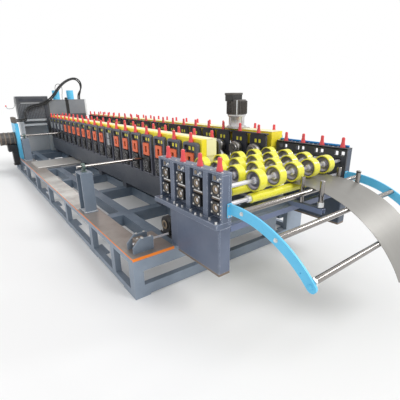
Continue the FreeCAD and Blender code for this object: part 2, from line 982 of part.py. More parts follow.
def shear_frame():
    pieces = [box(shear_left, shear_right, far_front, far_back, rail_top, shear_bed_top)]
    for x in (shear_left, shear_right - shear_column):
        pieces.append(box(x, x + shear_column, far_front, far_back, shear_bed_top, shear_head_bottom))
    pieces.append(box(shear_left, shear_right, far_front, far_back, shear_head_bottom, shear_head_top))
    return pieces


shear_middle = (shear_left + shear_right) / 2
shear_cover_width = (shear_width - shear_cover_gap) / 2
cover_top_z = shear_head_top + shear_cover_height
cylinder_y = (far_front + far_back) / 2
cylinder_places = [shear_middle + cylinder_offset + side * cylinder_spacing / 2 for side in (-1, 1)]


def shear_covers():
    return [box(x, x + shear_cover_width, far_front, far_back, shear_head_top,
                shear_head_top + shear_cover_height)
            for x in (shear_left, shear_right - shear_cover_width)]


def shear_cylinders():
    return [faceted_rod((x, cylinder_y, cover_top_z), (0, 0, 1), cylinder_radius, cylinder_height,
                        cylinder_sides)
            for x in cylinder_places]


column_top = base_height + column_rise


def side_column():
    return [box(0, column_width, column_y, column_y + column_depth, base_height, column_top)]


def column_head():
    return [box(column_head_inset, column_width - column_head_inset,
                column_y + column_head_front, column_y + column_depth - column_head_inset,
                column_top, column_top + column_head_height)]


def side_motor():
    middle = column_y + column_depth / 2
    return [faceted_rod((-side_motor_length, middle, base_height + side_motor_rise), (1, 0, 0),
                        side_motor_radius, side_motor_length, side_motor_sides)]


def beside(anchor, steps):
    return [tuple(start + step for start, step in zip(anchor, point)) for point in steps]


# Routes of the hoses: from the column head over the housing and the cylinders to the covers
at_head = (column_width - column_head_inset, column_y + hose_exit_back, column_top)
at_housing = (housing_left, far_front, housing_bottom)
at_covers = (shear_left, far_front, cover_top_z)
at_cylinder_top = (cylinder_places[0], cylinder_y, cover_top_z + cylinder_height)
at_cylinder_foot = (cylinder_places[0], cylinder_y, cover_top_z)
upper_route = beside(at_head, [(0, 0, 68), (130, 0, 68), (232, 96, 68)])
upper_route += beside(at_housing, [(97, -295, 32), (112, -150, 109), (167, -70, 244), (322, -50, 324),
                                   (532, -50, 356)])
upper_route += beside(at_covers, [(-8, -50, -2), (132, -45, 123), (272, -35, 303), (452, 30, 443),
                                  (642, 110, 533), (807, 130, 554), (910, 130, 458), (920, 130, 323),
                                  (868, 130, 218), (792, 130, 118), (792, 130, 0)])
lower_route = beside(at_head, [(0, 0, 32), (125, 0, 32), (240, 88, 32)])
lower_route += beside(at_housing, [(110, -305, -4), (128, -160, 70), (182, -82, 208), (334, -62, 290),
                                   (544, -62, 321)])
lower_route += beside(at_covers, [(6, -62, -37), (146, -57, 88), (288, -45, 268), (462, 80, 408),
                                  (642, 170, 498), (787, 185, 524), (892, 185, 436), (916, 185, 308),
                                  (888, 185, 194), (848, 185, 98), (848, 185, 0)])
short_route = beside(at_cylinder_top, [(0, 0, 0), (0, 0, 74), (34, 0, 142), (98, 0, 166)])
short_route += beside(at_cylinder_foot, [(154, 0, 362), (176, 0, 284), (168, 0, 192), (144, 0, 88),
                                         (144, 0, 0)])


def hose_upper():
    return [tube("hose_upper", upper_route, hose_diameter)]


def hose_lower():
    return [tube("hose_lower", lower_route, hose_diameter)]


def hose_short():
    return [tube("hose_short", short_route, short_hose_diameter)]


makers = [base_side_rails, base_side_posts, base_end_frames, base_cross_beams, base_long_beams, foot_pads,
          deck_plate, edge_trim, bed_plate, row_beams, row_slides, outer_roll_stands, inner_roll_stands,
          adjuster_plates, row_bearing_blocks, row_covers, tie_bar, screw_covers, forming_rolls,
          entry_stands, entry_bearing_blocks, entry_cross_beam, side_pipe, table_arms, table_bars, strip_run,
          strip_lead, guide_brackets, guide_posts, way_posts, bar_clamps, way_bars, deck_bracket,
          width_screw, shaft_bearing, drive_gearbox, drive_motor, far_housing, far_frame, far_bars,
          shear_frame, shear_covers, shear_cylinders, side_column, column_head, side_motor, hose_upper,
          hose_lower, hose_short]
nodes = {}
for maker in makers:
    nodes[maker.__name__] = maker()
for number, place in enumerate(entry_places, start=1):
    nodes["upper_ring_roll_%d" % number] = [upper_ring_roll(place)]
    nodes["lower_roll_%d" % number] = [lower_roll(place)]

# The origin is under the middle of the whole machine, on the floor
whole = FreeCAD.BoundBox()
for solids in nodes.values():
    for solid in solids:
        whole.add(solid.BoundBox)
shift = FreeCAD.Vector(-whole.Center.x, -whole.Center.y, 0)
print("shift", round(shift.x, 3), round(shift.y, 3), "size", whole.XLength, whole.YLength, whole.ZLength)

os.makedirs("parts", exist_ok=True)
for name, solids in nodes.items():
    piece = Part.makeCompound(solids) if len(solids) > 1 else solids[0]
    piece.translate(shift)
    if not piece.isValid():
        print("not valid", name)
    piece.exportStep("parts/%s.step" % name)
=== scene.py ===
from math import cos, pi, radians, sin

import bmesh
import bpy
from mathutils import Euler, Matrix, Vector


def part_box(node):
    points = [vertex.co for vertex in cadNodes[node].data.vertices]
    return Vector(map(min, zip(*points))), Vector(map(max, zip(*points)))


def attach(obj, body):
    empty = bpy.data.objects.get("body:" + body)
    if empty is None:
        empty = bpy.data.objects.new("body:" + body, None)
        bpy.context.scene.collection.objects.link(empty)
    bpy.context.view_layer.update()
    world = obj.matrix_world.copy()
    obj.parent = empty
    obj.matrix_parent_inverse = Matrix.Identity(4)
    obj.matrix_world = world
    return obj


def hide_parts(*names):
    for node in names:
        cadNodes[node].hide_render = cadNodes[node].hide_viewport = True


print("roll forming machine: loading the frame")
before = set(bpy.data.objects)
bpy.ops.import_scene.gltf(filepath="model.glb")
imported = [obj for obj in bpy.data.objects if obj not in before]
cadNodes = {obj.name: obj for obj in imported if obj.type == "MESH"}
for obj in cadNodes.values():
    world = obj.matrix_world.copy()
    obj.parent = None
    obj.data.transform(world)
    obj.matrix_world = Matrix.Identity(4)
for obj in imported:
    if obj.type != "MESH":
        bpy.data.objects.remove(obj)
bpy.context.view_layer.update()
mainBody = "machine_frame"
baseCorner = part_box("base_side_rails")[0]  # the base's front left corner


def place(x, y, z):
    # millimetres from the base's front left corner, to metres in the frame
    return Vector((x / 1000 + baseCorner.x, y / 1000 + baseCorner.y, z / 1000))


def addObject(name, data):
    made = bpy.data.objects.new(name, data)
    bpy.context.scene.collection.objects.link(made)
    return made


# places shared by the pieces, in millimetres
rows = {"left": 885, "right": 2185, "middle": 1535, "inner": 1190, "beamTop": 762, "top": 1265}
stations = [390 + 320 * k for k in range(20)]
entry = {"left": 521, "right": 2035, "middle": 1278, "front": -650, "back": 230, "top": 1200, "panelBottom": 830,
    "upper": 1069.5, "lower": 929.5}
bays = [-570 + 232 * k for k in range(4)]
table = {"centreY": -710, "centreZ": 53, "barRadius": 898.2, "angles": (5.0, 25.5, 46.0)}

# camera, floor and light
print("camera and light")
view = {"spot": (-915, -2210, 1700), "turn": (71.5701, 0.8356, -36.7572), "lens": 27.882}
lens = bpy.data.cameras.new("viewLens")
lens.lens = view["lens"]
lens.sensor_width = 36
lens.clip_start = 0.05
lens.clip_end = 200
viewpoint = addObject("viewpoint", lens)
viewpoint.location = place(*view["spot"])
viewpoint.rotation_euler = Euler([radians(a) for a in view["turn"]])
bpy.context.scene.camera = viewpoint
bpy.context.scene.view_settings.view_transform = "Standard"


def setInputs(tree, sockets, values):
    for name, value in values.items():
        if isinstance(value, bpy.types.NodeSocket):
            tree.links.new(value, sockets[name])
        else:
            sockets[name].default_value = value


def addNode(tree, kind, inputs=None, **settings):
    # a kind without Node in its name is a shader node
    node = tree.nodes.new(kind if "Node" in kind else "ShaderNode" + kind)
    for name, value in settings.items():
        setattr(node, name, value)
    setInputs(tree, node.inputs, inputs or {})
    return node


def mathOf(tree, kind, a, b=0.0, clamp=False):
    return addNode(tree, "Math", {0: a, 1: b}, operation=kind, use_clamp=clamp).outputs[0]


def times(tree, a, b, clamp=False):
    return mathOf(tree, "MULTIPLY", a, b, clamp)


def plus(tree, a, b, clamp=False):
    return mathOf(tree, "ADD", a, b, clamp)


def backgroundRay(tree):
    # 1 where the camera, or a mirror or glass in its view, looks straight at the backdrop
    rays = addNode(tree, "LightPath").outputs
    first = mathOf(tree, "MAXIMUM", rays["Is Camera Ray"], rays["Is Glossy Ray"])
    return mathOf(tree, "MAXIMUM", first, rays["Is Transmission Ray"])


def addSun(name, strength, width, heading):
    sun = bpy.data.lights.new(name, "SUN")
    sun.energy = strength
    sun.angle = radians(width)
    addObject(name, sun).rotation_euler = Vector(heading).to_track_quat("-Z", "Y").to_euler()


def newMaterial(name):
    made = bpy.data.materials.new(name)
    made.use_nodes = True
    made.node_tree.nodes.clear()
    return made, made.node_tree


studio = {"sky": 0.74, "floorShade": 0.12, "floorTone": (0.9, 0.94), "floorReach": 40}
addSun("softSun", 1.4, 28, (-0.42, 0.72, -0.85))
addSun("glintSun", 0.4, 10, (-0.8, 0.3, -0.5))

world = bpy.data.worlds.new("studioSky")
bpy.context.scene.world = world
world.use_nodes = True
sky = world.node_tree
sky.nodes.clear()
strength = addNode(sky, "MapRange", {"Value": backgroundRay(sky), "To Min": studio["sky"], "To Max": 1.0})
light = addNode(sky, "Background", {"Color": (1, 1, 1, 1), "Strength": strength.outputs["Result"]})
addNode(sky, "OutputWorld", {"Surface": light.outputs[0]})

floorSheet = bpy.data.meshes.new("studioFloor")
reach = studio["floorReach"]
corners = [(-reach, -reach, 0), (reach, -reach, 0), (reach, reach, 0), (-reach, reach, 0)]
floorSheet.from_pydata(corners, [], [(0, 1, 2, 3)])
floorPiece = addObject("studioFloor", floorSheet)
floorPaint, tree = newMaterial("studioFloor")
low, high = studio["floorTone"]
spots = addNode(tree, "TexNoise", {"Scale": 3.0, "Detail": 4.0})
tone = addNode(tree, "MapRange", {"Value": spots.outputs[0], "To Min": low, "To Max": high})
matt = addNode(tree, "BsdfDiffuse", {"Color": tone.outputs["Result"]})
glow = addNode(tree, "Emission", {"Color": (1, 1, 1, 1), "Strength": 1.0})
share = times(tree, backgroundRay(tree), studio["floorShade"])
blend = addNode(tree, "MixShader", {0: share, 1: matt.outputs[0], 2: glow.outputs[0]})
addNode(tree, "OutputMaterial", {"Surface": blend.outputs[0]})
floorSheet.materials.append(floorPaint)


# finishes: effects that several materials share
print("finishes")
socketKinds = {"Position": "Vector", "Lines": "Vector", "Direction": "Vector", "Paint": "Color", "Dust": "Color",
    "Metal": "Color", "Stain": "Color", "Colour": "Color", "Geometry": "Geometry", "Part": "Object",
    "Seed": "Int", "Finish": "Material"}  # every other socket takes a number


def newTree(name, inputs, outputs, kind="ShaderNodeTree"):
    tree = bpy.data.node_groups.new(name, kind)
    for labels, side in ((inputs, "INPUT"), (outputs, "OUTPUT")):
        for label in labels:
            tree.interface.new_socket(label, in_out=side, socket_type="NodeSocket" + socketKinds.get(label, "Float"))
    return tree, tree.nodes.new("NodeGroupInput").outputs, tree.nodes.new("NodeGroupOutput").inputs


def vectorOf(tree, kind, inputs, output=0):
    return addNode(tree, "VectorMath", inputs, operation=kind).outputs[output]


def noiseOf(tree, position, scale, detail=3.0, rough=0.5):
    return addNode(tree, "TexNoise", {"Vector": position, "Scale": scale, "Detail": detail,
        "Roughness": rough}).outputs["Fac"]


def mixColours(tree, share, first, second):
    return addNode(tree, "Mix", {0: share, 6: first, 7: second}, data_type="RGBA").outputs[2]


def rangeOf(tree, value, low, high, toLow, toHigh):
    return addNode(tree, "MapRange", {"Value": value, "From Min": low, "From Max": high,
        "To Min": toLow, "To Max": toHigh}).outputs["Result"]


def buildPaintAge():
    # colour that clouds and gathers dust, with a faint orange peel
    group, given, made = newTree("paintAge", ["Position", "Paint", "Dust", "Clouding", "Dustiness", "Shine"],
        ["Colour", "Roughness", "Height"])
    broad = noiseOf(group, given["Position"], 2.2, 4.0, 0.6)
    fine = noiseOf(group, given["Position"], 34.0, 3.0, 0.6)
    peel = noiseOf(group, given["Position"], 420.0, 1.0)
    level = plus(group, times(group, rangeOf(group, broad, 0.3, 0.7, -1, 1), given["Clouding"]), 1.0)
    bright = vectorOf(group, "SCALE", {0: given["Paint"], "Scale": level})
    dirt = times(group, rangeOf(group, broad, 0.42, 0.72, 0, 1), rangeOf(group, fine, 0.35, 0.7, 0.2, 1))
    dirt = times(group, dirt, given["Dustiness"], clamp=True)
    rough = plus(group, given["Shine"], times(group, rangeOf(group, fine, 0.3, 0.7, -0.5, 1), 0.12))
    setInputs(group, made, {"Colour": mixColours(group, dirt, bright, given["Dust"]), "Height": peel,
        "Roughness": plus(group, rough, times(group, dirt, 0.3), clamp=True)})
    return group


def buildEdgeWearAndHighlight():
    # a mask that is 1 along edges, partly where the paint is rubbed through and partly a painted highlight where edges
    # catch the light
    group, given, made = newTree("edgeWearAndHighlight", ["Position", "Width", "Amount"], ["Mask"])
    rounded = addNode(group, "Bevel", {"Radius": given["Width"]}, samples=4)
    flat = addNode(group, "NewGeometry")
    lean = vectorOf(group, "DOT_PRODUCT", {0: rounded.outputs[0], 1: flat.outputs["Normal"]}, "Value")
    edge = rangeOf(group, lean, 0.995, 0.86, 0, 1)
    broken = rangeOf(group, noiseOf(group, given["Position"], 26.0, 4.0, 0.7), 0.35, 0.6, 0.15, 1)
    setInputs(group, made, {"Mask": times(group, times(group, edge, broken), given["Amount"], clamp=True)})
    return group


def buildMetalGrain():
    # drawn or turned metal: fine lines along one direction, with stains
    group, given, made = newTree("metalGrain", ["Position", "Lines", "Metal", "Stain", "Staining", "Shine", "Toning"],
        ["Colour", "Roughness", "Height"])
    stretched = vectorOf(group, "MULTIPLY", {0: given["Position"], 1: given["Lines"]})
    lines = noiseOf(group, stretched, 1.0, 2.0, 0.7)
    cloud = noiseOf(group, given["Position"], 5.0, 5.0, 0.65)
    stained = times(group, rangeOf(group, cloud, 0.45, 0.7, 0, 1), given["Staining"], clamp=True)
    level = plus(group, times(group, rangeOf(group, lines, 0.2, 0.8, -1, 1), given["Toning"]), 1.0)
    toned = vectorOf(group, "SCALE", {0: given["Metal"], "Scale": level})
    rough = plus(group, given["Shine"], times(group, rangeOf(group, lines, 0.3, 0.7, -0.4, 0.6), given["Toning"]))
    setInputs(group, made, {"Colour": mixColours(group, stained, toned, given["Stain"]), "Height": lines,
        "Roughness": plus(group, rough, times(group, stained, 0.35), clamp=True)})
    return group


def buildTurning():
    # the direction of turning round the nearest shaft of the entry unit
    group, given, made = newTree("turning", ["Position", "First Y", "Pitch", "Axis Z"], ["Direction"])
    axes = addNode(group, "SeparateXYZ", {0: given["Position"]})
    half = times(group, given["Pitch"], 0.5)
    across = addNode(group, "Math", {0: axes.outputs[1], 1: plus(group, given["First Y"], half),
        2: mathOf(group, "SUBTRACT", given["First Y"], half)}, operation="WRAP")
    sideways = mathOf(group, "SUBTRACT", across.outputs[0], given["First Y"])
    upward = mathOf(group, "SUBTRACT", axes.outputs[2], given["Axis Z"])
    along = addNode(group, "CombineXYZ", {"Y": times(group, upward, -1.0), "Z": sideways})
    turned = addNode(group, "VectorTransform", {0: vectorOf(group, "NORMALIZE", {0: along.outputs[0]})},
        vector_type="VECTOR", convert_from="OBJECT", convert_to="WORLD")
    setInputs(group, made, {"Direction": turned.outputs[0]})
    return group


paintAge, edgeWearAndHighlight, metalGrain, turning = buildPaintAge(), buildEdgeWearAndHighlight(), buildMetalGrain(), buildTurning()
finishes = {}


def startFinish(name):
    finishes[name], tree = newMaterial(name)
    position = addNode(tree, "TexCoord").outputs["Object"]
    shader = addNode(tree, "BsdfPrincipled")
    addNode(tree, "OutputMaterial", {"Surface": shader.outputs[0]})
    return tree, position, shader


def useGroup(tree, group, inputs):
    return addNode(tree, "Group", inputs, node_tree=group).outputs


def bumpOf(tree, height, strength, distance):
    return addNode(tree, "Bump", {"Height": height, "Strength": strength, "Distance": distance}).outputs[0]


def paint(name, colour, shine, wearAndHighlightColour=(0.45, 0.47, 0.5), wearAndHighlight=0.5, wearAndHighlightWidth=0.004, clouding=0.12, dustiness=0.15,
        dust=(0.34, 0.31, 0.27), varnish=0.0):
    # the edge colour stands for rubbed paint and also for a painted highlight along the edges
    tree, position, shader = startFinish(name)
    age = useGroup(tree, paintAge, {"Position": position, "Paint": (*colour, 1), "Dust": (*dust, 1),
        "Clouding": clouding, "Dustiness": dustiness, "Shine": shine})
    shown = age["Colour"]
    if wearAndHighlight > 0:
        edge = useGroup(tree, edgeWearAndHighlight, {"Position": position, "Width": wearAndHighlightWidth, "Amount": wearAndHighlight})
        shown = mixColours(tree, edge["Mask"], shown, (*wearAndHighlightColour, 1))
    setInputs(tree, shader.inputs, {"Base Color": shown, "Roughness": age["Roughness"], "Coat Weight": varnish,
        "Normal": bumpOf(tree, age["Height"], 0.12, 0.0006)})


def metal(name, colour, shine, lines, staining, stain=(0.16, 0.12, 0.09), metallic=1.0, grain=0.06, toning=0.12,
        spread=0.0):
    # lines stretch the grain along each axis; spread draws highlights out round the entry unit's shafts
    tree, position, shader = startFinish(name)
    if spread > 0:
        first = place(0, bays[0], entry["upper"])
        turned = useGroup(tree, turning, {"Position": position, "First Y": first.y, "Axis Z": first.z,
            "Pitch": (bays[1] - bays[0]) / 1000})
        setInputs(tree, shader.inputs, {"Anisotropic": spread, "Tangent": turned["Direction"]})
    drawn = useGroup(tree, metalGrain, {"Position": position, "Lines": lines, "Metal": (*colour, 1),
        "Stain": (*stain, 1), "Staining": staining, "Shine": shine, "Toning": toning})
    setInputs(tree, shader.inputs, {"Base Color": drawn["Colour"], "Roughness": drawn["Roughness"],
        "Metallic": metallic})
    if grain > 0:
        setInputs(tree, shader.inputs, {"Normal": bumpOf(tree, drawn["Height"], grain, 0.0004)})


paint("baseSlate", (0.255, 0.31, 0.385), 0.38, (0.36, 0.42, 0.5), clouding=0.18)
# painted shade: a darker copy of the base slate for the beams inside the base and the entry cross beam, standing for
# the shade inside the frame; it also gathers more dust
paint("shadedBeamSlate", (0.145, 0.19, 0.25), 0.38, (0.3, 0.35, 0.42), clouding=0.25, dustiness=0.3)
paint("paleSlate", (0.175, 0.22, 0.28), 0.38, (0.48, 0.54, 0.62), 0.8, 0.006, clouding=0.14)
paint("rowSlate", (0.058, 0.068, 0.09), 0.42, (0.2, 0.23, 0.28), dustiness=0.25)
paint("standSlate", (0.095, 0.1, 0.135), 0.36, (0.24, 0.25, 0.31), 0.9, 0.007, dustiness=0.2)
paint("innerSlate", (0.045, 0.049, 0.064), 0.36, (0.2, 0.21, 0.26), 0.9, 0.007, dustiness=0.2)
paint("webSlate", (0.03, 0.033, 0.038), 0.42, (0.15, 0.16, 0.18), 0.6, dustiness=0.3)
# the entry panel's pale edge colour, at full strength, is mostly a painted highlight on the edges of its ribs
paint("entrySlate", (0.125, 0.155, 0.225), 0.36, (0.62, 0.68, 0.8), 1.0, 0.008)
paint("frontSlate", (0.058, 0.078, 0.115), 0.38, (0.25, 0.32, 0.42), 0.9, 0.007)
paint("bracketSlate", (0.15, 0.19, 0.315), 0.36, (0.4, 0.46, 0.6), 0.7)
paint("blackPaint", (0.045, 0.05, 0.066), 0.34, (0.1, 0.11, 0.13), 0.6)
paint("skyBlue", (0.13, 0.6, 0.93), 0.32, (0.45, 0.8, 0.97), 0.35, dustiness=0.08, clouding=0.07)
paint("pipeBlue", (0.02, 0.3, 0.75), 0.3, wearAndHighlight=0, dustiness=0.05)
paint("hoodYellow", (1.0, 0.84, 0.03), 0.4, (0.9, 0.84, 0.4), clouding=0.06, dustiness=0.1)
# painted highlight: a pale cream for the lit faces of the yellow hoods
paint("hoodSheenCream", (0.95, 0.92, 0.58), 0.42, (0.96, 0.94, 0.75), 0.3, clouding=0.05, dustiness=0.06)
# painted light: a yellow lighter than the hood's, for panes that stand in for the lit hood side seen through the
# stands' windows
paint("windowLitYellow", (0.98, 0.9, 0.06), 0.4, wearAndHighlight=0, clouding=0.05, dustiness=0.05)
paint("ringYellow", (0.9, 0.85, 0.05), 0.28, (0.9, 0.88, 0.45), 0.4, clouding=0.1, dustiness=0.12, varnish=0.3)
paint("plateOrange", (1.0, 0.18, 0.06), 0.45, (1.0, 0.4, 0.22), clouding=0.05, dustiness=0.04)
paint("trimOrange", (1.0, 0.25, 0.012), 0.5, (0.95, 0.4, 0.15), 0.3)
paint("capRed", (0.86, 0.075, 0.085), 0.3, wearAndHighlight=0, clouding=0.06, dustiness=0.05, varnish=0.25)
paint("brownSteel", (0.2, 0.15, 0.115), 0.4, (0.4, 0.34, 0.28), dustiness=0.35, dust=(0.3, 0.27, 0.24))
paint("plateGrey", (0.42, 0.43, 0.44), 0.4)
paint("greenIron", (0.09, 0.14, 0.125), 0.4, (0.4, 0.42, 0.4), 0.7)
paint("blackIron", (0.016, 0.016, 0.018), 0.42, (0.16, 0.155, 0.15), dustiness=0.12)
paint("motorBrown", (0.075, 0.068, 0.066), 0.36, (0.3, 0.28, 0.27), 0.8, dustiness=0.2)
paint("tanRace", (0.3, 0.225, 0.145), 0.35, clouding=0.4, dustiness=0.75, dust=(0.05, 0.035, 0.025))
paint("housingGrey", (0.085, 0.09, 0.1), 0.36, (0.25, 0.26, 0.28))
paint("coverGrey", (0.24, 0.255, 0.28), 0.34, (0.4, 0.42, 0.45))
paint("paleFrame", (0.5, 0.52, 0.54), 0.4, dustiness=0.3)
paint("whiteFrame", (0.8, 0.82, 0.84), 0.4, clouding=0.05, dustiness=0.08)
paint("rustyHead", (0.12, 0.1, 0.085), 0.5, dustiness=0.5, dust=(0.28, 0.2, 0.13))
paint("rubber", (0.013, 0.013, 0.014), 0.42, wearAndHighlight=0, dustiness=0.1, dust=(0.16, 0.14, 0.12))
metal("deckSteel", (0.34, 0.3, 0.275), 0.3, (5, 2, 5), 0.35, (0.2, 0.155, 0.12), 0.35, 0, 0.06)
metal("groundSteel", (0.62, 0.6, 0.57), 0.36, (2, 8, 8), 0.12, (0.3, 0.25, 0.2), 0.35, 0, 0.05)
metal("chromeBar", (0.32, 0.3, 0.285), 0.15, (2, 40, 40), 0.12, (0.12, 0.1, 0.08), 1.0, 0, 0.06)
metal("turnedSteel", (0.8, 0.79, 0.82), 0.24, (12, 3, 3), 0.08, metallic=0.45, grain=0, toning=0.03)
metal("rollSteel", (0.34, 0.33, 0.32), 0.34, (300, 12, 12), 0.4)
metal("stripSteel", (0.285, 0.277, 0.26), 0.4, (20, 2, 2), 0.12, (0.25, 0.235, 0.215), 0.5, 0, 0.05)
metal("castAlloy", (0.62, 0.62, 0.63), 0.36, (60, 60, 8), 0.15, metallic=0.8)
metal("dishSteel", (0.36, 0.345, 0.38), 0.3, (20, 4, 4), 0.1, grain=0, toning=0.06, spread=0.85)
metal("dullBolt", (0.3, 0.3, 0.31), 0.32, (60, 60, 60), 0.35, metallic=0.9)
metal("zincBolt", (0.78, 0.78, 0.77), 0.3, (90, 90, 90), 0.15, metallic=0.85)


def paintedGlareBand(name, low, high, colour):
    # painted reflection: a band of the plate, along the machine, painted paler for the glare of light off its bare
    # metal, broken into patches by noise
    tree = finishes[name].node_tree
    shader = next(node for node in tree.nodes if node.type == "BSDF_PRINCIPLED")
    position = next(node for node in tree.nodes if node.type == "TEX_COORD").outputs["Object"]
    plain = shader.inputs["Base Color"].links[0].from_socket
    along = addNode(tree, "SeparateXYZ", {0: position}).outputs[1]
    start, stop = place(0, low, 0).y, place(0, high, 0).y
    rising = rangeOf(tree, along, start - 0.01, start + 0.01, 0, 1)
    falling = rangeOf(tree, along, stop - 0.5, stop + 0.3, 1, 0)
    glarePatches = rangeOf(tree, noiseOf(tree, position, 3.2, 4.0, 0.6), 0.42, 0.66, 1, 0.45)
    share = times(tree, times(tree, rising, falling), glarePatches, clamp=True)
    setInputs(tree, shader.inputs, {"Base Color": mixColours(tree, share, plain, (*colour, 1))})


# painted reflection: the deck plate is painted paler from 1575 to 3900 mm along the machine
paintedGlareBand("deckSteel", 1575, 3900, (0.8, 0.78, 0.74))

# nodes that keep their solids
coats = {"baseSlate": "base_side_rails base_side_posts base_end_frames foot_pads",
    "shadedBeamSlate": "base_cross_beams base_long_beams entry_cross_beam", "deckSteel": "deck_plate",
    "trimOrange": "edge_trim", "groundSteel": "bed_plate", "rowSlate": "row_beams row_slides",
    "hoodYellow": "row_covers", "blackPaint": "tie_bar", "stripSteel": "strip_run strip_lead",
    "bracketSlate": "guide_brackets", "paleSlate": "way_posts deck_bracket", "paleFrame": "far_frame far_bars",
    "housingGrey": "far_housing shear_frame", "coverGrey": "shear_covers", "skyBlue": "side_column shear_cylinders",
    "rustyHead": "column_head", "motorBrown": "side_motor", "pipeBlue": "side_pipe", "blackIron": "shaft_bearing"}
for finish, nodes in coats.items():
    for node in nodes.split():
        slots = cadNodes[node].data.materials
        slots.clear()
        slots.append(finishes[finish])


# hoses between the column head and the cropping unit
print("hoses")
hoses = {"hose_upper": {"diameter": 0.034, "length": 3.0, "route": [
    (60, 6240, 1258), (190, 6240, 1258), (292, 6336, 1258), (325, 6505, 1268), (340, 6650, 1345),
    (395, 6730, 1480), (550, 6750, 1560), (760, 6750, 1592), (950, 6750, 1680), (1090, 6755, 1805),
    (1230, 6765, 1985), (1410, 6830, 2125), (1600, 6910, 2212), (1765, 6930, 2229), (1868, 6930, 2138),
    (1878, 6930, 2005), (1826, 6930, 1900), (1750, 6930, 1800), (1750, 6930, 1682)]},
    "hose_lower": {"diameter": 0.034, "length": 2.947, "route": [
    (60, 6240, 1222), (185, 6240, 1222), (300, 6328, 1222), (338, 6495, 1232), (356, 6640, 1306),
    (410, 6718, 1444), (562, 6738, 1526), (772, 6738, 1557), (964, 6738, 1645), (1104, 6743, 1770),
    (1246, 6755, 1950), (1420, 6880, 2090), (1600, 6970, 2180), (1745, 6985, 2206), (1850, 6985, 2118),
    (1874, 6985, 1990), (1846, 6985, 1876), (1806, 6985, 1780), (1806, 6985, 1682)]},
    "hose_short": {"diameter": 0.012, "length": 0.64, "route": [
    (1194, 6930, 1912), (1194, 6930, 1986), (1228, 6930, 2054), (1292, 6930, 2078), (1348, 6930, 2044),
    (1370, 6930, 1966), (1362, 6930, 1874), (1338, 6930, 1770), (1338, 6930, 1682)]}}


def tubeLine(name, route, radius, finish, roundness, steps):
    line = bpy.data.curves.new(name, "CURVE")
    line.dimensions = "3D"
    line.bevel_depth = radius
    line.bevel_resolution = roundness
    line.use_fill_caps = True
    run = line.splines.new("NURBS")
    run.points.add(len(route) - 1)
    for point, spot in zip(run.points, route):
        point.co = (*place(*spot), 1)
    run.order_u = 3
    run.use_endpoint_u = True
    run.resolution_u = steps
    line.materials.append(finishes[finish])
    return line


for node, hose in hoses.items():
    cord = addObject(node + "_cord", tubeLine(node + "_line", hose["route"], hose["diameter"] / 2, "rubber", 5, 10))
    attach(cord, mainBody)
    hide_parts(node)


# shapes in millimetres, as lists of points and faces
def takeMesh(mesh):
    bmesh.ops.recalc_face_normals(mesh, faces=mesh.faces)
    mesh.verts.index_update()
    points = [vert.co.copy() for vert in mesh.verts]
    faces = [[vert.index for vert in face.verts] for face in mesh.faces]
    mesh.free()
    return points, faces


def box(low, high, chamfer=0.0):
    mesh = bmesh.new()
    bmesh.ops.create_cube(mesh, size=1)
    for vert in mesh.verts:
        vert.co = Vector([(a + b) / 2 + side * (b - a) for a, b, side in zip(low, high, vert.co)])
    if chamfer:
        bmesh.ops.bevel(mesh, geom=mesh.edges[:], offset=chamfer, segments=1, profile=0.5, affect="EDGES")
    return takeMesh(mesh)


def lathe(profile, start, axis=(1, 0, 0), sides=32, ring=False):
    # profile is (radius, distance along the axis); a ring's profile closes on itself
    mesh = bmesh.new()
    turn = Vector((0, 0, 1)).rotation_difference(Vector(axis)).to_matrix()
    loops = []
    for radius, along in profile:
        angles = [2 * pi * k / sides for k in range(sides if radius > 0 else 1)]
        spots = [Vector(start) + turn @ Vector((radius * cos(a), radius * sin(a), along)) for a in angles]
        loops.append([mesh.verts.new(spot) for spot in spots])
    for first, second in zip(loops, loops[1:] + (loops[:1] if ring else [])):
        for k in range(sides):
            after = (k + 1) % sides
            steps = ((first, k), (first, after), (second, after), (second, k))
            corners = list(dict.fromkeys([loop[step % len(loop)] for loop, step in steps]))
            if len(corners) > 2:
                mesh.faces.new(corners)
    for loop in [] if ring else (loops[0], loops[-1]):
        if len(loop) > 1:
            mesh.faces.new(loop)
    return takeMesh(mesh)


def bar(start, radius, length, sides=40, axis=(1, 0, 0), chamfer=2):
    rim = radius - chamfer
    return lathe([(0, 0), (rim, 0), (radius, chamfer), (radius, length - chamfer), (rim, length), (0, length)],
        start, axis, sides)


def outlineOf(left, right, bottom, top, radii, steps=4):
    # radii are one number, or four from bottom left round to top left
    if not isinstance(radii, tuple):
        radii = (radii,) * 4
    points = []
    corners = ((left, bottom, 1, 1, 180), (right, bottom, -1, 1, 270), (right, top, -1, -1, 0), (left, top, 1, -1, 90))
    for (a, b, signA, signB, start), radius in zip(corners, radii):
        for k in range(steps + 1 if radius else 1):
            angle = radians(start + 90 * k / steps)
            points.append((a + radius * (signA + cos(angle)), b + radius * (signB + sin(angle))))
    return points


def plateShape(outer, holes, low, high):
    # a flat plate with holes, cut from an outline and given a thickness along X
    mesh = bmesh.new()
    for depth in (low, high):
        edges = []
        for loop in [outer] + holes:
            ring = [mesh.verts.new((depth, a, b)) for a, b in loop]
            edges += [mesh.edges.new((ring[k], ring[(k + 1) % len(ring)])) for k in range(len(ring))]
        if holes:
            bmesh.ops.triangle_fill(mesh, use_beauty=True, use_dissolve=True, edges=edges)
        else:
            mesh.faces.new([edge.verts[0] for edge in edges])
    mesh.verts.ensure_lookup_table()
    total = sum(len(loop) for loop in [outer] + holes)
    start = 0
    for loop in [outer] + holes:
        for k in range(len(loop)):
            a, b = start + k, start + (k + 1) % len(loop)
            mesh.faces.new([mesh.verts[a], mesh.verts[b], mesh.verts[b + total], mesh.verts[a + total]])
        start += len(loop)
    return takeMesh(mesh)


def mirrorShape(shape, middle):
    points, faces = shape
    return [Vector((2 * middle - p.x, p.y, p.z)) for p in points], [face[::-1] for face in faces]


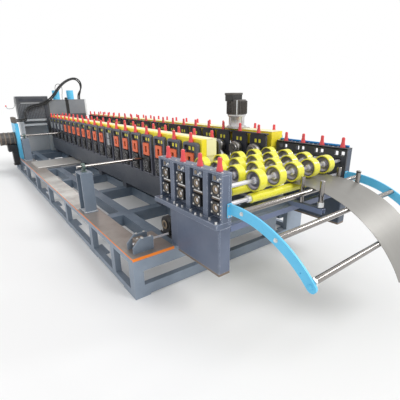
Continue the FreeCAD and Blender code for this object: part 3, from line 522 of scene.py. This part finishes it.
def joinMesh(name, parts, finishNames="", local=False, smooth=40):
    # parts are (shape, finish number); local shapes stay round their own origin
    points, faces, numbers = [], [], []
    for (shapePoints, shapeFaces), number in parts:
        first = len(points)
        points += [p / 1000 if local else place(p.x, p.y, p.z) for p in shapePoints]
        faces += [[first + k for k in face] for face in shapeFaces]
        numbers += [number] * len(shapeFaces)
    mesh = bpy.data.meshes.new(name)
    mesh.from_pydata(points, [], faces)
    for finish in finishNames.split():
        mesh.materials.append(finishes[finish])
    mesh.polygons.foreach_set("material_index", numbers)
    if smooth:
        mesh.shade_smooth()
        mesh.set_sharp_from_angle(angle=radians(smooth))
    mesh.update()
    return mesh


def addPiece(name, mesh, replaced=None, body=mainBody):
    piece = addObject(name, mesh)
    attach(piece, body)
    if replaced:
        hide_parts(replaced)


def solid(name, shapes, finishNames, replaced=None, body=mainBody, smooth=40):
    parts = [(shape, 0) if isinstance(shape[0], list) else shape for shape in shapes]
    addPiece(name, joinMesh(name, parts, finishNames, smooth=smooth), replaced, body)


# geometry node trees for what repeats
print("node trees")


def spreadAndFinish(tree, given, made, shape):
    # shape is set on every point, turned by the point's own turn, made real and given its finish
    turn = addNode(tree, "GeometryNodeInputNamedAttribute", {"Name": "turn"}, data_type="FLOAT_VECTOR")
    spin = addNode(tree, "FunctionNodeRandomValue", {"Max": given["Loose Turn"], "Seed": given["Seed"]},
        data_type="FLOAT")
    spinAxis = addNode(tree, "CombineXYZ", {"Z": spin.outputs[1]})
    spread = addNode(tree, "GeometryNodeInstanceOnPoints", {"Points": given["Geometry"], "Instance": shape,
        "Rotation": turn.outputs["Attribute"]})
    spun = addNode(tree, "GeometryNodeRotateInstances", {"Instances": spread.outputs[0],
        "Rotation": spinAxis.outputs[0], "Local Space": True})
    real = addNode(tree, "GeometryNodeRealizeInstances", {"Geometry": spun.outputs[0]})
    done = addNode(tree, "GeometryNodeSetMaterial", {"Geometry": real.outputs[0], "Material": given["Finish"]})
    setInputs(tree, made, {"Geometry": done.outputs[0]})


def buildCopies():
    # sets a made part on every point
    tree, given, made = newTree("setCopies", ["Geometry", "Part", "Loose Turn", "Seed", "Finish"],
        ["Geometry"], "GeometryNodeTree")
    part = addNode(tree, "GeometryNodeObjectInfo", {"Object": given["Part"], "As Instance": True})
    spreadAndFinish(tree, given, made, part.outputs["Geometry"])
    return tree


def buildHexBolts():
    # a six-sided head on a round washer, on every point
    tree, given, made = newTree("hexBolts", ["Geometry", "Head Radius", "Head Height", "Washer Radius",
        "Washer Height", "Loose Turn", "Seed", "Finish"], ["Geometry"], "GeometryNodeTree")
    both = tree.nodes.new("GeometryNodeJoinGeometry")
    headLift = plus(tree, times(tree, given["Head Height"], 0.5), given["Washer Height"])
    for part, sides, lift in (("Head", 6, headLift), ("Washer", 14, times(tree, given["Washer Height"], 0.5))):
        drum = addNode(tree, "GeometryNodeMeshCylinder", {"Vertices": sides, "Radius": given[part + " Radius"],
            "Depth": given[part + " Height"]})
        up = addNode(tree, "CombineXYZ", {"Z": lift})
        raised = addNode(tree, "GeometryNodeTransform", {"Geometry": drum.outputs["Mesh"],
            "Translation": up.outputs[0]})
        tree.links.new(raised.outputs[0], both.inputs[0])
    spreadAndFinish(tree, given, made, both.outputs[0])
    return tree


copiesTree, boltsTree = buildCopies(), buildHexBolts()
upTurn = (0.0, 0.0, 0.0)
halfTurn = (0.0, 0.0, pi)
leftTurn = (0.0, -pi / 2, 0.0)  # the part's Z axis points to -X
rightTurn = (0.0, pi / 2, 0.0)
frontTurn = (pi / 2, 0.0, 0.0)  # the part's Z axis points to -Y


def plainMesh(source):
    depsgraph = bpy.context.evaluated_depsgraph_get()
    mesh = bpy.data.meshes.new_from_object(source.evaluated_get(depsgraph), depsgraph=depsgraph)
    bpy.data.objects.remove(source)
    return mesh


def growPiece(name, spots, tree, values, replaced=None):
    # spots are (x, y, z) or ((x, y, z), turn) in millimetres; the tree's result becomes a plain mesh
    spots = [spot if len(spot) == 2 else (spot, upTurn) for spot in spots]
    mesh = bpy.data.meshes.new(name + "Spots")
    mesh.from_pydata([place(*spot) for spot, turn in spots], [], [])
    turns = mesh.attributes.new("turn", "FLOAT_VECTOR", "POINT")
    turns.data.foreach_set("vector", [value for spot, turn in spots for value in turn])
    source = addObject(name + "Spots", mesh)
    grower = source.modifiers.new("grow", "NODES")
    grower.node_group = tree
    for item in tree.interface.items_tree:
        if item.in_out == "INPUT" and item.name in values:
            value = values[item.name]
            grower[item.identifier] = finishes[value] if item.name == "Finish" else value
    grown = plainMesh(source)
    grown.name = name
    if "turn" in grown.attributes:
        grown.attributes.remove(grown.attributes["turn"])
    addPiece(name, grown, replaced)


def copied(name, shapes, spots, finish, replaced=None, smooth=40):
    # shapes are round their own origin and are repeated at every spot
    mesh = joinMesh(name + "Part", [(shape, 0) for shape in shapes], local=True, smooth=smooth)
    template = addObject(name + "Part", mesh)
    growPiece(name, spots, copiesTree, {"Part": template, "Finish": finish}, replaced)
    bpy.data.objects.remove(template)


def bolted(name, spots, size, finish="zincBolt", tall=1.0):
    # size is the head's width in millimetres, about; the heads are turned at random
    values = {"Head Radius": size * 0.0009, "Head Height": size * 0.0006 * tall, "Washer Radius": size * 0.0012,
        "Washer Height": size * 0.00015, "Loose Turn": 1.05, "Seed": 5, "Finish": finish}
    growPiece(name, spots, boltsTree, values)


def mirrored(points, middle):
    # the points, and the same on the other side turned half round
    return [(point, upTurn) for point in points] + [((2 * middle - x, y, z), halfTurn) for x, y, z in points]


# rows of roll stands
print("rows")
standPlate = {"width": 255, "height": 503, "thick": 38, "corner": 38, "rim": 28, "recess": 22, "window": 34,
    "apart": 64, "low": 420, "high": 458}
innerPlate = {"thick": 26, "corner": 30, "window": 34, "apart": 64, "low": 405, "high": 449}
hood = {"front": 240, "back": 6620, "low": 1130, "high": 1298, "plateFront": 250, "plateLow": 764, "skin": 1.5,
    "left": (990, 1114), "right": (1956, 2142.7)}
adjuster = {"size": 148, "thick": 10, "holeWidth": 48, "holeHeight": 78, "middle": 1082, "grey": 7, "palest": 16,
    "depth": 20}
rollBearing = {"width": 170, "height": 190, "thick": 14, "middle": 896, "cap": 58, "boltRing": 44}
screwCap = {"base": 26, "waist": 20, "neck": 16.5, "height": 98}
formRoll = {"radius": 92, "length": 118, "low": 881.2, "high": 1068.8}


def rowSpots(z, x=rows["left"], places=stations):
    return mirrored([(x, y, z) for y in places], rows["middle"])


def windowHoles(p, radius, steps):
    return [outlineOf(y - p["window"] / 2, y + p["window"] / 2, p["low"], p["high"], radius, steps)
        for y in (-p["apart"] / 2, p["apart"] / 2)]


# painted light: yellow panes set flush in the windows, where the hood behind them would lie in shade
def paneShapes(p, near, far):
    return [box((near, y - 20, p["low"] - 3), (far, y + 20, p["high"] + 3)) for y in (-p["apart"] / 2, p["apart"] / 2)]


p = standPlate
w, h, rim, corner = p["width"] / 2, p["height"], p["rim"], p["corner"]
opening = outlineOf(-w + rim, w - rim, 18, h - rim, (8, 8, 20, 20))
stand = plateShape(outlineOf(-w, w, 0, h, (3, 3, corner, corner), 6), [opening], 4, p["thick"])
lip = plateShape(outlineOf(-w + 6, w - 6, 6, h - 6, (3, 3, corner - 6, corner - 6), 6), [opening], 0, 4)
rim -= 2
web = plateShape(outlineOf(-w + rim, w - rim, 17, h - rim, (8, 8, 20, 20)), windowHoles(p, 5, 2), p["recess"],
    p["thick"] - 1)
outerSpots = rowSpots(rows["beamTop"])
copied("outerStands", [stand, lip], outerSpots, "standSlate", "outer_roll_stands")
copied("outerWebs", [web], outerSpots, "webSlate")
copied("standWindows", paneShapes(p, p["recess"] + 1, p["thick"] - 2), outerSpots, "windowLitYellow")

p = innerPlate
stand = plateShape(outlineOf(-w, w, 0, h, (3, 3, p["corner"], p["corner"])), windowHoles(p, 4, 1), 0, p["thick"])
innerSpots = rowSpots(rows["beamTop"], rows["inner"] - p["thick"])
copied("innerStands", [stand], innerSpots, "innerSlate", "inner_roll_stands")
copied("innerWindows", paneShapes(p, 10, p["thick"] - 1), innerSpots, "windowLitYellow")

p = hood
# painted highlight: thin cream sheets laid on the hoods' tops and on the left hood's front stand in for the light that
# makes the yellow hood look pale there
sheenSheets = [box((left, p["front"] - p["skin"], p["high"] - 1), (right, p["back"], p["high"] + p["skin"]))
    for left, right in (p["left"], p["right"])]
for front, low, high in ((p["front"], p["low"], p["high"]), (p["plateFront"], p["plateLow"], p["low"])):
    sheenSheets.append(box((p["left"][0], front - p["skin"], low), (p["left"][1], front + 1, high)))
solid("hoodPanels", sheenSheets, "hoodSheenCream")

p = adjuster
s, deep, level = p["size"] / 2, p["depth"], p["middle"]
greyStation, paleStations = stations[p["grey"]], stations[p["palest"]:]
redStations = [y for y in stations[:p["palest"]] if y != greyStation]
w, h = p["holeWidth"] / 2, p["holeHeight"] / 2
plate = plateShape(outlineOf(-s, s, -s, s, 8, 2), [outlineOf(-w, w, -h, h, 6, 2)], -p["thick"], deep)
copied("adjusterPlates", [plate], rowSpots(level, places=redStations), "plateOrange",
    "adjuster_plates")
greyPlates = [box((-8, -s + 44, -s - 34), (deep, s - 20, 10), 3), box((-8, -s + 50, 22), (deep, s - 26, s + 26), 3)]
copied("greyAdjuster", greyPlates, rowSpots(level, places=[greyStation]), "plateGrey")
palePlate = box((-6, -s + 24, -s + 6), (deep, s - 24, s - 6), 3)
copied("paleAdjusters", [palePlate], rowSpots(level, places=paleStations), "plateGrey")
blocks = [box((6, -s + 10, -s + 10), (deep + 4, s - 10, s - 10), 3), box((2, -7, -s - 34), (deep + 1, 7, -s - 2), 2),
    lathe([(0, 0), (10, 0), (10, 9), (0, 9)], (6, 0, 0), (-1, 0, 0), 12)]
copied("adjusterBlocks", blocks, rowSpots(level), "blackIron")
guides = [box((2, side * (s + 3) - 5, -s - 40), (deep + 1, side * (s + 3) + 5, s + 30), 2) for side in (-1, 1)]
copied("adjusterGuides", guides, rowSpots(level), "standSlate")

p = rollBearing
w, h, front, cap, level = p["width"] / 2, p["height"] / 2, -p["thick"], p["cap"], p["middle"]
bearing = [plateShape(outlineOf(-w, w, -h, h, 10, 2), [], front, 0),
    lathe([(0, 0), (cap, 0), (cap, 7), (cap - 5, 10), (26, 10), (22, 4), (0, 4)], (front, 0, 0), (-1, 0, 0), 20),
    box((front - 8, -w + 6, -h + 4), (front, w - 6, -h + 26), 3)]
bearing += [box((front - 12, side * 62 - 15, -52), (front + 1, side * 62 + 15, 46), 6) for side in (-1, 1)]
copied("rollBearings", bearing, rowSpots(level), "blackIron", "row_bearing_blocks")
boltSpots = []
for x, side, turn in ((rows["left"], -1, leftTurn), (rows["right"], 1, rightTurn)):
    for y in stations:
        for k in range(4):
            angle = radians(45 + 90 * k)
            across, up = p["boltRing"] * cos(angle), p["boltRing"] * sin(angle)
            boltSpots.append(((x + side * 24, y + across, level + up), turn))
        for a in (-70, 70):
            boltSpots.append(((x + side * 14, y + a, level + 78), turn))
            boltSpots.append(((x + side * 22, y + a * 0.7, level - 80), turn))
bolted("rollBearingBolts", boltSpots, 9, "dullBolt")
# the bright turned edge of each bearing's cap, and the nut on its shaft
lips = [lathe([(cap - 7, 0), (cap - 3, 0), (cap - 3, 4), (cap - 7, 4)], (front - 9, 0, 0), (-1, 0, 0), 20, True),
    lathe([(18, 0), (25, 0), (25, 7), (18, 7)], (front - 4, 0, 0), (-1, 0, 0), 16, True)]
copied("rollBearingLips", lips, rowSpots(level), "dullBolt")

p = screwCap
base, neck, h = p["base"], p["neck"], p["height"]
screwShape = lathe([(0, 0), (base, 0), (base, 5), (base - 2, 10), (p["waist"], 34), (neck, 52), (neck, h - 14),
    (neck - 2, h - 5), (neck - 6, h), (0, h)], (0, 0, 0), (0, 0, 1), 18)
top, innerCap = rows["top"], rows["inner"] - 13
capSpots = [(x, y, z) for y in stations
    for x, z in ((rows["left"] + 19, top), (rows["right"] - 19, top), (innerCap, top),
    (2 * rows["middle"] - innerCap, top + 16))]
capSpots += [(x, y, entry["top"]) for y in bays for x in (entry["left"] - 45.5, entry["right"] + 45.5)]
copied("screwCaps", [screwShape], capSpots, "capRed", "screw_covers")

r, w = formRoll["radius"], formRoll["length"]
roll = lathe([(0, 0), (34, 0), (34, 6), (r - 30, 6), (r - 14, 20), (r - 14, 44), (r, 58), (r, 86), (r - 6, 94),
    (r - 26, 98), (r - 30, 112), (24, 112), (24, w), (0, w)], (0, 0, 0), sides=28)
rollSpots = [spot for y in stations for z in (formRoll["low"], formRoll["high"])
    for spot in mirrored([(rows["inner"], y, z)], rows["middle"])]
copied("formRolls", [roll], rollSpots, "rollSteel", "forming_rolls")


# entry unit: stands, ring shafts, lower rolls and their bearings
print("entry unit")
entryStand = {"outer": 91, "web": 26, "topPlate": 20, "rib": 60, "endRib": 28, "flange": 141, "flangeBase": 785,
    "box": 116, "boxBack": -80, "boxBase": 412, "leg": 80, "window": 44, "apart": 66, "low": 1122,
    "high": 1166, "hole": 24}
ringRoll = {"radius": 87, "width": 80, "rim": 11, "dish": 31, "hub": 25, "first": 850, "pitch": 234, "count": 5,
    "shaft": 17, "left": 441, "right": 2115}
lowerRoll = {"radius": 38, "left": 785, "right": 1771, "collar": 29, "collarLength": 34}
entryBearing = {"width": 100, "height": 96, "left": 433, "face": 495, "race": 33, "bore": 19}
middle, upper, lower = entry["middle"], entry["upper"], entry["lower"]


def entryStandParts(flangeBack):
    # the left stand; finish 0 is the panel with its ribs, 1 the parts seen from the front and side, 2 the rim
    p = entryStand
    x, front, back, low, top = entry["left"], entry["front"], entry["back"], entry["panelBottom"], entry["top"]
    boxLeft, boxBack, flangeBase, hole = x - p["box"], p["boxBack"], p["flangeBase"], p["hole"]
    holes = []
    for y in bays:
        holes += [outlineOf(y - hole, y + hole, z - hole, z + hole, 3, 1) for z in (upper, lower)]
        for outline in windowHoles(p, 4, 1):
            holes.append([(a + y, b) for a, b in outline])
    outline = outlineOf(front + 1, back - 1, low - 20, top - 8, 0)
    parts = [(plateShape(outline, holes, x - p["web"], x), 0)]
    ribs = [(front + p["endRib"] / 2, p["endRib"], 1), (back - p["endRib"] / 2, p["endRib"], 0)]
    for y, width, finish in ribs + [(y + 116, p["rib"], 0) for y in bays[:3]]:
        rib = box((x - p["outer"], y - width / 2, low - 6), (x - p["web"] + 6, y + width / 2, top - 14), 5)
        parts.append((rib, finish))
    return parts + [(box((x - p["outer"], front, top - p["topPlate"]), (x, back, top), 3), 0),
        (box((x - p["flange"], front, flangeBase), (x, flangeBack, low), 4), 1),
        (box((boxLeft, front, p["boxBase"]), (x, boxBack, flangeBase + 4), 9), 1),
        (box((x - p["leg"], boxBack - 4, 397), (x, 80, flangeBase + 4), 3), 1),
        (box((boxLeft + 4, front + 4, 397.5), (x - 4, boxBack - 4, p["boxBase"] + 12)), 2)]


solid("entryStandLeft", entryStandParts(255), "entrySlate entrySlate brownSteel", "entry_stands")
rightParts = [(mirrorShape(shape, middle), number) for shape, number in entryStandParts(236)]
solid("entryStandRight", rightParts, "blackPaint frontSlate brownSteel")

# bolts on the two stands, given for the left one and mirrored
sideBolts, flangeBolts, topBolts = [], [], []
for sign, offset, turn in ((1, 0, leftTurn), (-1, 2 * middle, rightTurn)):
    sideBolts += [((offset + sign * 430, -637, 862 + 33 * k), turn) for k in range(10)]
    flangeBolts += [(offset + sign * 396, y, 830) for y in (-627, -376, -114)]
    flangeBolts += [(offset + sign * 416, y, 830) for y in (-528, -423, -284, -162, -37, 75, 178)]
    for y in bays:
        for side in (-1, 1):
            sideBolts.append(((offset + sign * 495, y + side * 68, 858), turn))
            topBolts.append((offset + sign * 448, y + side * 62, entry["top"]))
        topBolts.append((offset + sign * 506, y + 82, entry["top"]))
bolted("entrySideBolts", sideBolts, 4.5)
bolted("entryFlangeBolts", flangeBolts, 11, tall=2.6)
bolted("entryTopBolts", topBolts, 8)


def baySpots(x, z):
    return [(x, y, z) for y in bays]


copied("entryScrewBlocks", [box((0, -55, -30), (50, 55, 26), 4)], baySpots(446, 1148), "entrySlate")
disc = lathe([(0, 0), (17, 0), (17, 3), (15, 5), (6, 5), (5, 2), (0, 2)], (0, 18, 2), (-1, 0, 0), 20)
copied("entryDiscs", [disc], baySpots(446, 1148), "tanRace")
bolted("entryBlockBolts", [((446, y + a, 1148 + b), leftTurn) for y in bays for a, b in ((-18, -8), (-40, 6))], 8)
copied("entryBars", [box((-12, -66, -9), (12, 72, 9), 3)], mirrored(baySpots(468, 990), middle), "brownSteel")
copied("entryRods", [bar((0, -68, 0), 8, 107, 14, (0, 1, 0), 1)], mirrored(baySpots(446, 1008), middle),
    "zincBolt")
copied("pipeClips", [box((-13, -11, -4), (13, 11, 23), 4)],
    [(2114.8, y, 1200) for y in (-560, -330, -100, 130)], "blackIron")


def ringShapes(x, y, z):
    p = ringRoll
    r, w, hub, inner = p["radius"], p["width"], p["hub"], p["radius"] - p["rim"]
    start, bore = (x - w / 2, y, z), p["shaft"] - 0.5
    tyre = lathe([(inner, 0), (r - 3, 0), (r, 3), (r, w - 3), (r - 3, w), (inner, w), (inner - 2, w - 6),
        (inner - 2, 6)], start, sides=48, ring=True)
    bowl = [(inner - 1 - (inner - 9 - hub) * k / 7, 4 + p["dish"] * sin(pi / 2 * (k / 7) ** 0.6))
        for k in range(8)] + [(hub + 1, p["dish"] + 1)]
    dish = lathe(bowl + [(a, w - b) for a, b in reversed(bowl)], start, sides=48, ring=True)
    sleeve = lathe([(bore, 7), (hub, 7), (hub + 5, 12), (hub + 5, w - 12), (hub, w - 7), (bore, w - 7)], start,
        ring=True)
    return [(tyre, 0), (dish, 2), (sleeve, 1)]


length, s = ringRoll["right"] - ringRoll["left"], ringRoll["shaft"]
p = lowerRoll
r, c = p["radius"], p["collar"]
near, far = p["left"] - ringRoll["left"] - p["collarLength"], p["right"] - ringRoll["left"] + p["collarLength"]
for number, y in enumerate(bays, start=1):
    parts = []
    for k in range(ringRoll["count"]):
        parts += ringShapes(ringRoll["first"] + k * ringRoll["pitch"], y, upper)
    parts.append((bar((ringRoll["left"], y, upper), s, length, 24), 1))
    solid("ringRoll%d" % number, parts, "ringYellow turnedSteel dishSteel",
        "upper_ring_roll_%d" % number, "upper_ring_roll_%d_body" % number)
    drum = bar((p["left"], y, lower), r, p["right"] - p["left"], chamfer=4)
    axle = lathe([(0, 0), (s - 2, 0), (s, 2), (s, near), (c - 6, near), (c, near + 6), (c, far - 6), (c - 6, far),
        (s, far), (s, length - 2), (s - 2, length), (0, length)], (ringRoll["left"], y, lower), sides=28)
    solid("lowerRoll%d" % number, [(drum, 0), (axle, 1)], "ringYellow turnedSteel",
        "lower_roll_%d" % number, "lower_roll_%d_body" % number)

# the bearings lie round their own origin on the shaft's axis, the open side towards -X
p = entryBearing
w, h, bore, outer = p["width"] / 2, p["height"] / 2, p["bore"], p["race"]
hole = [(outer * cos(pi * k / 12), outer * sin(pi * k / 12)) for k in range(24)]
bearing = plateShape(outlineOf(-w, w, -h, h, 9, 2), [hole], 0, p["face"] - p["left"])
bearingSpots = [spot for y in bays for z in (upper, lower) for spot in mirrored([(p["left"], y, z)], middle)]
copied("entryBearings", [bearing], bearingSpots, "blackIron", "entry_bearing_blocks")
race = lathe([(bore, 0), (outer - 2, 0), (outer, 3), (outer, 20), (bore, 20)], (2, 0, 0), sides=24, ring=True)
copied("entryRaces", [race], bearingSpots, "tanRace")
boltSpots = [((x, y + a, z + b), leftTurn if turn == upTurn else rightTurn)
    for (x, y, z), turn in bearingSpots for a in (-37, 37) for b in (-35, 35)]
bolted("entryBearingBolts", boltSpots, 6.5)


# feed table and its guides
print("feed table")
arm = {"left": 490, "thick": 15, "radius": 920, "width": 80, "tipWidth": 68, "end": 47.5, "front": -662,
    "flangeLow": 866, "flangeHigh": 974, "flangeWidth": 46}


def onArc(radius, degrees):
    angle = radians(degrees)
    return (table["centreY"] - radius * sin(angle), table["centreZ"] + radius * cos(angle))


def armShapes():
    # a curved flat arm that narrows towards a round tip, its flange and the cap on its tip
    p = arm
    radius, end, front, left, tip = p["radius"], p["end"], p["front"], p["left"], p["tipWidth"] / 2
    steps = 28
    outer = [(front, table["centreZ"] + radius)] + [onArc(radius, end * k / steps) for k in range(steps + 1)]
    tipY, tipZ = onArc(radius - tip, end)
    for k in range(1, 12):
        turn = radians(90 - end - 15 * k)
        outer.append((tipY - tip * cos(turn), tipZ + tip * sin(turn)))
    for k in range(steps, -1, -1):
        share = k / steps
        outer.append(onArc(radius - p["width"] - (p["tipWidth"] - p["width"]) * share, end * share))
    outer.append((front, table["centreZ"] + radius - p["width"]))
    holeY, holeZ = onArc(radius - 45, 41)
    hole = [(holeY + 5 * cos(pi * k / 4), holeZ + 5 * sin(pi * k / 4)) for k in range(8)]
    middle, half = left + p["thick"] / 2, p["flangeWidth"] / 2
    flange = box((middle - half, front, p["flangeLow"]), (middle + half, front + 12, p["flangeHigh"]), 3)
    dome = lathe([(0, 0), (17, 0), (16, 5), (11, 9), (5, 11), (0, 11.5)], (left, *onArc(radius - tip, end - 0.6)),
        (-1, 0, 0), 20)
    return [plateShape(outer, [hole], left, left + p["thick"]), flange, dome]


def bothSides(shapes):
    return shapes + [mirrorShape(shape, middle) for shape in shapes]


solid("tableArms", bothSides(armShapes()), "skyBlue", "table_arms")
barSpots = [onArc(table["barRadius"], degrees) for degrees in table["angles"]]
barNut = lathe([(21, 0), (33, 0), (33, 16), (21, 16)], (505, *barSpots[2]), sides=6, ring=True)
solid("barNuts", bothSides([barNut]), "zincBolt", smooth=0)
solid("tableBars", [bar((505, *spot), 22, 1546) for spot in barSpots], "chromeBar", "table_bars")
solid("wayBars", [bar((35, y, 945), 19, 850) for y in (1465, 5640)], "chromeBar", "way_bars")
solid("widthScrew", [bar((75, 137, 472), 11, 366, 24)], "turnedSteel", "width_screw")
posts = [bar((x, y, 838), 19, 222, 32, (0, 0, 1)) for x in (1260, 1810) for y in (-715, -897)]
solid("guidePosts", posts, "chromeBar", "guide_posts")
armBolts, barEnds = [], []
for x, side, turn in ((490, -1, leftTurn), (2066, 1, rightTurn)):
    barEnds += [((x, *onArc(table["barRadius"] - 14, degrees)), turn) for degrees in table["angles"][:2]]
    armBolts += [((x - side * 7.5 + a, -662, z), frontTurn) for a in (-14, 14) for z in (880, 960)]
bolted("armBolts", armBolts, 7)
bolted("barEnds", barEnds, 13)
guideRing = lathe([(8, -12), (20, -12), (20, -2), (18, 0), (8, 0)], (0, 0, 0), (0, 0, 1), 24, True)
copied("guideRings", [guideRing], [(1810, -897, 1054)], "blackIron")
guideNut = lathe([(18, -22), (24, -22), (26, -19), (26, 19), (24, 22), (18, 22)], (0, 0, 0), (0, 0, 1), 6, True)
copied("guideNuts", [guideNut], [(x, -897, 862) for x in (1260, 1810)], "zincBolt", smooth=0)


# width adjustment on the deck
print("width adjustment")
clamp = {"x": 110, "z": 945, "outer": 43, "inner": 19, "width": 34, "depth": 60, "low": 884}
p = clamp
half, outer, low = p["width"] / 2, p["outer"], p["low"]
clampShapes = []
for y in (1465, 5640):
    clampShapes.append(lathe([(p["inner"], -half), (outer - 3, -half), (outer, 3 - half), (outer, half - 3),
        (outer - 3, half), (p["inner"], half)], (p["x"], y, p["z"]), ring=True))
    for x in (p["x"] - half + 2, p["x"] + half - 10):
        clampShapes.append(box((x, y - p["depth"] / 2, low), (x + 8, y + p["depth"] / 2, p["z"] - 22), 2))
    clampShapes.append(box((p["x"] - 26, y - 40, low), (p["x"] + 26, y + 40, low + 10), 2))
solid("barClamps", clampShapes, "greenIron", "bar_clamps")
solid("nutBlock", [box((94, 84.5, 406), (186, 189.5, 511), 3)], "brownSteel")
bolted("bracketBolts", [(x, y, 535) for x in (140, 215) for y in (77, 197)]
    + [(x, 137, 511) for x in (120, 160)], 10)
solid("postPlates", [box((34, y - 108, 404.5), (186, y + 108, 417), 2) for y in (1465, 5640)], "whiteFrame")
bolted("wayPostBolts", [(x, y + a, 417) for x in (50, 170) for y in (1465, 5640) for a in (-96, 96)], 10)
bearingRing = lathe([(27, -3), (44, -3), (46, 0), (46, 3), (27, 3)], (0, 0, 0), ring=True)
copied("bearingRing", [bearingRing], [(469, 250, 520)], "tanRace")
bolted("bearingBolts", [(506, y, 421) for y in (158, 342)], 15)


# drive
print("drive")
drive = {"x": 2000, "y": 890, "low": 1474, "high": 1660, "radius": 124, "fins": 36}
x, y, low, high, r = (drive[key] for key in ("x", "y", "low", "high", "radius"))
gearbox = lathe([(0, 1309), (132, 1309), (132, 1322), (108, 1326), (104, 1334), (104, 1440), (112, 1450),
    (120, 1458), (120, 1474), (0, 1474)], (x, y, 0), (0, 0, 1), 40)
webs = [box((1888, 882, 1318), (1904, 898, 1440), 3), box((1992, 778, 1318), (2008, 794, 1440), 3)]
plate = box((1885, 778, 1297.8), (2138, 1002, 1310), 2)
solid("gearbox", [gearbox, plate] + webs, "castAlloy", "drive_gearbox")
barrel = lathe([(0, low), (r, low), (r, high - 14), (r - 14, high), (0, high)], (x, y, 0), (0, 0, 1), 48)
terminal, lid = box((1868, 838, 1640), (2046, 978, 1736), 7), box((1864, 834, 1716), (2050, 982, 1742), 4)
solid("motor", [(barrel, 0), (terminal, 1), (lid, 0)], "motorBrown blackIron", "drive_motor")
finSpots = [((x, y, low + 8), (0, 0, 2 * pi * (k + 0.5) / drive["fins"])) for k in range(drive["fins"])]
copied("motorFins", [box((r - 6, -2.2, 0), (r + 11, 2.2, 160), 0.8)], finSpots, "motorBrown")
# painted highlight: a white strip down the motor barrel on the side facing the viewpoint
copied("motorStrip", [box((r - 6, -7, -6), (r + 14, 7, 178), 1)], [((x, y, low), (0, 0, radians(226.8)))],
    "whiteFrame")
flangeAngles = [radians(22 + 45 * k) for k in range(8)]
bolted("gearboxBolts", [(x + 120 * cos(a), y + 120 * sin(a), 1322) for a in flangeAngles], 12)


# far end: housing, covers, column head and side motor
print("far end")
housing = {"left": 228, "right": 952, "front": 6800, "low": 1236, "top": 1772}
h = housing
front, top = h["front"], h["top"]
ribs = [box((x - 3, front - 5, h["low"] + 8), (x + 3, front + 1, 1592), 1) for x in range(258, 840, 36)]
solid("housingRibs", ribs + [box((h["left"], front - 7, top - 16), (h["right"], front + 1, top + 4), 2)],
    "coverGrey")
solid("housingSlot", [(box((288, front - 6, 1655), (828, front + 1, 1722), 3), 0),
    (box((318, front - 10, 1600), (742, front + 1, 1622), 3), 1)], "blackPaint plateGrey")
solid("housingPost", [box((846, front - 22, 868), (919, front + 6, 1570), 3)], "blackPaint")
solid("coverStrip", [box((1871, 6806, 1262), (1915, 6846, 1682), 2)], "whiteFrame")
solid("coverRims", [box((left, front - 5, 1668), (right, front + 3, 1685), 2)
    for left, right in ((955, 1376), (1452, 1873))], "coverGrey")
fitting = lathe([(0, 0), (34, 0), (38, 4), (38, 26), (30, 34), (0, 34)], (1402, front - 6, 1700), (0, 1, 0), 24)
solid("coverFitting", [fitting, box((1374.5, front + 4, 1322), (1453.5, front + 22, 1676), 3)], "blackIron")
leverRoute = [(240, 6792, 1768), (200, 6792, 1768), (192, 6792, 1700), (184, 6792, 1560), (150, 6792, 1500),
    (60, 6792, 1488), (10, 6792, 1500), (-6, 6792, 1545)]
lever = plainMesh(addObject("leverLine", tubeLine("leverLine", leverRoute, 0.007, "plateGrey", 3, 6)))
lever.shade_smooth()
addPiece("lever", lever)
knob = lathe([(0, 0), (12, 3), (16, 12), (16, 26), (11, 36), (0, 40)], (-4, 6792, 1536), (-0.1, 0, 1), 16)
solid("leverKnob", [knob], "capRed")
headBlocks = [box((4, 6030, 1196), (66, 6150, 1300), 6), box((-6, 6160, 1188), (72, 6250, 1316), 8),
    box((2, 6262, 1200), (64, 6340, 1292), 5), box((-4, 6352, 1190), (70, 6446, 1312), 7)]
solid("headBlocks", headBlocks, "rustyHead")
solid("hoseNuts", [lathe([(0, 0), (22, 0), (24, 2), (24, 30), (18, 36), (0, 36)], (58, 6240, z), sides=6)
    for z in (1222, 1258)], "zincBolt", smooth=0)
bracket = [box((-196, 6080, 560), (-2, 6290, 722), 8), box((-122, 6100, 262), (-2, 6270, 566), 8),
    box((-136, 6090, 244), (-2, 6280, 264), 3)]
solid("motorBracket", bracket, "blackIron")
motorBands = [lathe([(120, 0), (139, 0), (146, 5), (146, 25), (139, 30), (120, 30)], (x, 6180, 850), ring=True)
    for x in (-322, -232, -142, -52)]
solid("sideMotorBands", motorBands, "brownSteel")
